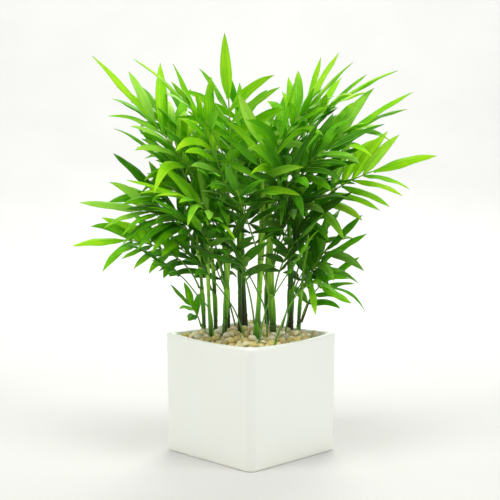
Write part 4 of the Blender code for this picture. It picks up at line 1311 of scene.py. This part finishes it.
class BasalStalk(Rachis):
    """A petiole drawn through given points, with the measures that a frond's midrib has."""

    def __init__(self, points, pairs, leaf, age):
        self.pairs, self.leaf, self.age = pairs, leaf, age
        marks = [place(*p) for p in points]
        marks = [marks[0] * 2 - marks[1]] + marks + [marks[-1] * 2 - marks[-2]]
        self.points = []
        for i in range(RACHIS_SAMPLES + 1):
            along = i / RACHIS_SAMPLES * (len(marks) - 3)
            k = min(int(along), len(marks) - 4)
            t, (a, b, c, d) = along - k, marks[k:k + 4]
            self.points.append(0.5 * (2 * b + (c - a) * t + (2 * a - 5 * b + 4 * c - d) * t ** 2
                                      + (3 * b - a - 3 * c + d) * t ** 3))
        steps = [(b - a).length for a, b in zip(self.points, self.points[1:])]
        self.distances = [0.0, *itertools.accumulate(steps)]
        self.length = self.distances[-1]
        self.pitch = 0.004 + 0.2 * leaf
        self.first = self.length - pairs * self.pitch
        outward = marks[-2] - marks[1]
        outward.z = 0.0
        self.lean = Vector((0, 0, 1)) - outward.normalized() * BLADE_LEAN

    def fan(self):
        """The ways of its end leaflet and its pairs, spread like the fingers of a hand."""
        for pair in range(self.pairs + 1):
            mark = self.length if pair == self.pairs else self.first + pair * self.pitch
            point, along, across, face = self.frame(mark)
            for side in ((0,) if pair == self.pairs else (-1, 1)):
                turn = math.radians(58 - 24 * pair / self.pairs) if side else 0.0
                ahead = along * math.cos(turn) + across * side * math.sin(turn) + face * 0.14
                ahead.normalize()
                wide = along if side else across
                wide = (wide - ahead * wide.dot(ahead)).normalized()
                foot = point + across * side * self.half_width(mark)
                feet = (foot - wide * 0.0018, foot + wide * 0.0018)
                width = LEAF_WIDTH * math.sqrt(self.leaf / WIDTH_LEAF)
                droop = 0.52 - 0.32 * self.age
                yield pair, side, (feet, ahead, wide, droop, self.leaf * (1.0 if side else 1.2), width)


def make_lone_leaf(kind, number, row):
    stalk = BasalStalk(*row)
    shell = Shell()
    add_stalk(shell, stalk, 0.75 * stalk.age - 0.18)
    for pair, side, way in stalk.fan():
        draw = random.Random(f"{kind} blade {number} {pair} {side}")
        add_blade(shell, way, np.array(stalk.frame(stalk.length)[3]), stalk.age, draw)
    return shell.piece(f"palm_{kind}_leaf_{number + 1}", [leaf_upper, leaf_under, petiole_skin], [])


basal_leaves = [make_lone_leaf("basal", *pair) for pair in enumerate(BASAL_LEAVES)]
young_leaves = [make_lone_leaf("young", *pair) for pair in enumerate(YOUNG_LEAVES)]
print("basal leaves", len(basal_leaves), "young leaves", len(young_leaves),
      "triangles", sum(triangles(b) for b in basal_leaves + young_leaves))

# %% [markdown]
# ## Dry petiole
#
# One old leaf has fallen and left its withered petiole: a brown, shrunken stub that
# tapers to a frayed tip. A twisted tube with a few deep grooves reads as dry fibre.

# %% Dry petiole
DRY_CANE, DRY_LEAN, DRY_RADII = 7, (0.010, -0.006, 0.030), (0.0014, 0.0007)


def make_dry_petiole():
    ring = cane_rings(DRY_CANE)[0]
    outward = place(DRY_LEAN[0], DRY_LEAN[1], 0).normalized()
    reach = cane_radius(DRY_CANE, ring) * CANE_RING_SWELL + DRY_RADII[0] + GAP
    foot = cane_centre(DRY_CANE, ring) + outward * reach
    along = place(*DRY_LEAN)
    rows, tones = [], []
    steps, around = 20, 14
    for i in range(steps + 1):
        share = i / steps
        radius = DRY_RADII[0] + (DRY_RADII[1] - DRY_RADII[0]) * share
        row = []
        for j, p in enumerate(round_row(foot + along * share, along.normalized(), radius, around, 0.8,
                                        turn=share * 1.6)):
            centre = foot + along * share
            pinch = 1 - 0.24 * (0.5 + 0.5 * math.cos(3 * 2 * math.pi * j / around))
            row.append(tuple(centre + (p - centre) * pinch))
        rows.append(row)
        tones.append([(0.55 - 0.35 * share, 0.0)] * around)
    rows = np.array(rows)
    shell = Shell()
    shell.tube(rows, np.zeros((*rows.shape[:2], 2)), np.array(tones))
    return shell.piece("withered_petiole", [dry_skin], ["dry_petiole"])


withered = make_dry_petiole()
print("dry petiole", triangles(withered), "triangles")

# %% [markdown]
# ## River stones
#
# The stones are 8 to 12 mm across, worn round but still a little flat-sided. They are
# poured, not laid, so their middles start on a loose honeycomb and are pushed apart
# until none overlaps another, a stem or the wall. A second layer below fills the gaps.
# The bed is highest round the clump and falls towards the wall.

# %% Stones
STONE_EDGE_LEVEL, STONE_MOUND = 0.1398, 0.0064
STONE_RADII = (0.0040, 0.0058)
LOOSE_STONES = 34


def cavity_half(z):
    return wall_side(z) / 2 - POT_WALL - GAP


def mound(x, y):
    """Level of the stone bed, highest over the clump and a little raised in the corners."""
    half = cavity_half(SOIL_TOP)
    reach, corner = max(abs(x), abs(y)) / half, abs(x * y) / half ** 2
    return STONE_EDGE_LEVEL + STONE_MOUND * max(0.0, 1.0 - reach ** 2) + CORNER_LIFT * corner ** 2


def stem_circles(z):
    return [(cane_centre(c, z).x, cane_centre(c, z).y, cane_radius(c, z) * CANE_RING_SWELL + 0.0004)
            for c in range(len(CANES))]


def scatter(draw, pitch, z, shift):
    """Middles and radii of one layer, pushed apart by small steps."""
    half = cavity_half(z)
    spots = []
    rows = int(half * 2 / pitch) + 2
    for i in range(-rows, rows + 1):
        for j in range(-rows, rows + 1):
            x = (j + 0.5 * (i % 2)) * pitch + shift + draw.uniform(-0.0012, 0.0012)
            y = i * pitch * 0.866 + shift + draw.uniform(-0.0012, 0.0012)
            radius = draw.uniform(*STONE_RADII)
            if max(abs(x), abs(y)) < half - radius * 0.4:
                spots.append((x, y, radius))
    spots = np.array(spots)
    at, radii = spots[:, :2], spots[:, 2]
    stems = np.array(stem_circles(z))
    for step in range(60):
        gap = at[:, None] - at[None]
        apart = np.linalg.norm(gap, axis=-1) + np.eye(len(at))
        need = (radii[:, None] + radii[None]) * 0.94
        push = np.clip(need - apart, 0, None) * (1 - np.eye(len(at)))
        at = at + (gap / apart[..., None] * push[..., None]).sum(1) * 0.25
        off = at[:, None] - stems[None, :, :2]
        far = np.linalg.norm(off, axis=-1)
        press = np.clip(radii[:, None] + stems[None, :, 2] - far, 0, None)
        at = at + (off / far[..., None] * press[..., None]).sum(1)
        limit = (half - radii * 0.98)[:, None]
        at = np.clip(at, -limit, limit)
    return at, radii


def round_cube(cuts):
    """Directions and quads of a cube blown up into a ball."""
    bm = bmesh.new()
    bmesh.ops.create_cube(bm, size=2.0)
    bmesh.ops.subdivide_edges(bm, edges=bm.edges, cuts=cuts, use_grid_fill=True)
    bm.verts.index_update()
    points = unit(np.array([v.co for v in bm.verts]))
    faces = [tuple(v.index for v in f.verts) for f in bm.faces]
    bm.free()
    return points, faces


def random_turn(draw):
    """A rotation drawn evenly, tipped mostly about the upright axis."""
    turn = Matrix.Rotation(draw.uniform(0, 2 * math.pi), 3, "Z")
    tip = Matrix.Rotation(draw.uniform(-0.6, 0.6), 3, "X") @ Matrix.Rotation(draw.uniform(-0.6, 0.6), 3, "Y")
    return np.array(turn @ tip)


def add_stone(shell, ball, centre, radius, draw):
    points, faces = ball
    shape = points.copy()
    for k in range(5):
        aim = unit(np.array([draw.gauss(0, 1) for i in range(3)]))
        level = draw.uniform(0.66, 0.92)
        over = np.clip(shape @ aim - level, 0, None)
        shape = shape - over[:, None] * aim * 0.75
    scale = np.array([draw.uniform(1.0, 1.22), draw.uniform(0.86, 1.0), draw.uniform(0.74, 0.92)])
    shape = (shape * scale) @ random_turn(draw).T * radius
    first = shell.add_points(shape + centre, (0.0, 0.0), (draw.random(), draw.random()))
    shell.add_faces([tuple(first + i for i in f) for f in faces], 0)


def make_stones():
    draw = random.Random("river stones")
    shell = Shell()
    fine, plain = round_cube(6), round_cube(3)
    for ball, pitch, drop, shift in ((plain, 0.0100, 0.0080, 0.003), (fine, 0.0096, 0.0, 0.0)):
        at, radii = scatter(draw, pitch, STONE_EDGE_LEVEL, shift)
        for (x, y), radius in zip(at, radii):
            level = mound(x, y) - radius * 0.80 - drop + draw.uniform(-0.0016, 0.0014)
            add_stone(shell, ball, np.array([x, y, level]), radius, draw)
    stems = stem_circles(STONE_EDGE_LEVEL)
    half = cavity_half(STONE_EDGE_LEVEL) * 0.86
    loose = 0
    while loose < LOOSE_STONES:
        x, y, radius = draw.uniform(-half, half), draw.uniform(-half, half), draw.uniform(0.0036, 0.0048)
        if all(math.hypot(x - a, y - b) > radius * 1.15 + r for a, b, r in stems):
            add_stone(shell, fine, np.array([x, y, mound(x, y) + radius * 0.25]), radius, draw)
            loose += 1
    return shell.piece("river_stones", [river_stone], ["stones"])


stones = make_stones()
print("stones", triangles(stones), "triangles")

# %% [markdown]
# ## Soil
#
# Only slivers of dark potting mix show between the stones. The soil is one block that
# fills the planter, with a crumbly top made by pushing a fine grid up and down.

# %% Soil
SOIL_CRUMB = 0.0016


def make_soil():
    draw = random.Random("soil")
    loops = []
    low, high = POT_FLOOR + GAP, SOIL_TOP + 0.009
    for z, inset in ((low, 0.004), (low + 0.003, 0.0006), (0.05, 0.0006), (0.09, 0.0006), (high, 0.0006)):
        loop = rounded_square(wall_side(z) - 2 * (POT_WALL + inset), CAVITY_CORNER - inset)
        loops.append(np.column_stack([loop, np.full(len(loop), z)]))
    rim = loops[-1]
    for share in np.linspace(0.96, 0.06, 26):
        ring = rim * np.array([share, share, 1.0])
        ring[:, 2] += [draw.uniform(-SOIL_CRUMB, SOIL_CRUMB) + 0.002 for p in ring]
        loops.append(ring)
    rows = np.array(loops)
    shell = Shell()
    flat = np.zeros((*rows.shape[:2], 2))
    shell.tube(rows, flat, flat)
    return shell.piece("potting_mix", [soil_crumb], ["soil"])


soil = make_soil()
print("soil", triangles(soil), "triangles")

# %% [markdown]
# ## Floor and light
#
# The photograph is bright and even, with soft light from the front and above and light
# coming through the outer leaves. The stage is one pale sweep: a floor that curves up
# into a low round wall, so that no horizon shows from any side. Soft panels in front,
# above and behind do most of the work, and an open sky above fills the shadows.

# %% Floor and light
FLOOR_REACH, SWEEP_CURVE, WALL_TOP = 2.2, 1.8, 2.8
SWEEP_TURNS = 64


def make_floor():
    profile = [(0.0, 0.0), (0.6, 0.0), (1.5, 0.0), (FLOOR_REACH, 0.0)]
    for i in range(1, 17):
        angle = math.pi / 2 * i / 16
        profile.append((FLOOR_REACH + SWEEP_CURVE * math.sin(angle), SWEEP_CURVE * (1 - math.cos(angle))))
    profile.append((FLOOR_REACH + SWEEP_CURVE, WALL_TOP))
    bm = bmesh.new()
    line = [bm.verts.new((reach, 0, z)) for reach, z in profile]
    edges = [bm.edges.new(pair) for pair in zip(line, line[1:])]
    bmesh.ops.spin(bm, geom=line + edges, cent=(0, 0, 0), axis=(0, 0, 1), angle=2 * math.pi,
                   steps=SWEEP_TURNS, use_merge=True)
    bmesh.ops.remove_doubles(bm, verts=bm.verts, dist=1e-5)
    bmesh.ops.recalc_face_normals(bm, faces=bm.faces)
    for face in bm.faces:
        face.smooth = True
    mesh = bpy.data.meshes.new("floor")
    bm.to_mesh(mesh)
    bm.free()
    material, wire, skin = new_material("pale_floor")
    place_in = wire.add("ShaderNodeTexCoord").outputs["Object"]
    mottle = wire.group(MOTTLE, Vector=place_in, Patch_Scale=3.0, Grain_Scale=300.0)
    wire.feed(skin.inputs["Base Color"], wire.blend(mottle["Patch"], (0.60, 0.60, 0.59), (0.62, 0.62, 0.61)))
    skin.inputs["Roughness"].default_value = 0.8
    mesh.materials.append(material)
    floor = bpy.data.objects.new("floor", mesh)
    bpy.context.scene.collection.objects.link(floor)
    floor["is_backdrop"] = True
    return floor


def soft_panel(name, spot, aim, size, power, colour):
    data = bpy.data.lights.new(name, "AREA")
    data.shape = "DISK"
    data.size = size
    data.energy = power
    data.color = colour
    lamp = bpy.data.objects.new(name, data)
    bpy.context.scene.collection.objects.link(lamp)
    lamp.location = spot
    lamp.rotation_euler = (Vector(aim) - Vector(spot)).to_track_quat("-Z", "Y").to_euler()
    return lamp


def make_light():
    world = bpy.data.worlds.new("studio")
    bpy.context.scene.world = world
    world.use_nodes = True
    sky = world.node_tree.nodes["Background"]
    sky.inputs["Color"].default_value = (1.0, 1.0, 0.985, 1.0)
    sky.inputs["Strength"].default_value = 0.68
    middle = (0, 0, 0.22)
    soft_panel("left_panel", place(-1.8, -1.0, 1.5), middle, 1.3, 24.0, (1.0, 0.99, 0.95))
    soft_panel("right_panel", place(1.9, -1.0, 1.2), middle, 1.3, 21.0, (1.0, 1.0, 0.98))
    soft_panel("top_panel", place(0.0, -0.5, 2.2), middle, 1.1, 14.0, (1.0, 1.0, 0.95))
    soft_panel("back_panel", place(0.3, 1.8, 1.7), (0, 0, 0.35), 1.4, 22.0, (1.0, 1.0, 0.92))
    soft_panel("backdrop_panel", place(0.0, 1.6, 2.5), place(0.0, 3.9, 0.6), 1.6, 60.0, (1.0, 1.0, 1.0))


floor = make_floor()
make_light()
bpy.context.scene.view_settings.view_transform = "Standard"
print("stage ready")

# %% Sizes and finish
seen_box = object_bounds()
for name, box in (("packed", cad_box), ("dressed", seen_box)):
    print(name, "size in mm", [round(1000 * (b - a), 1) for a, b in zip(*box)])
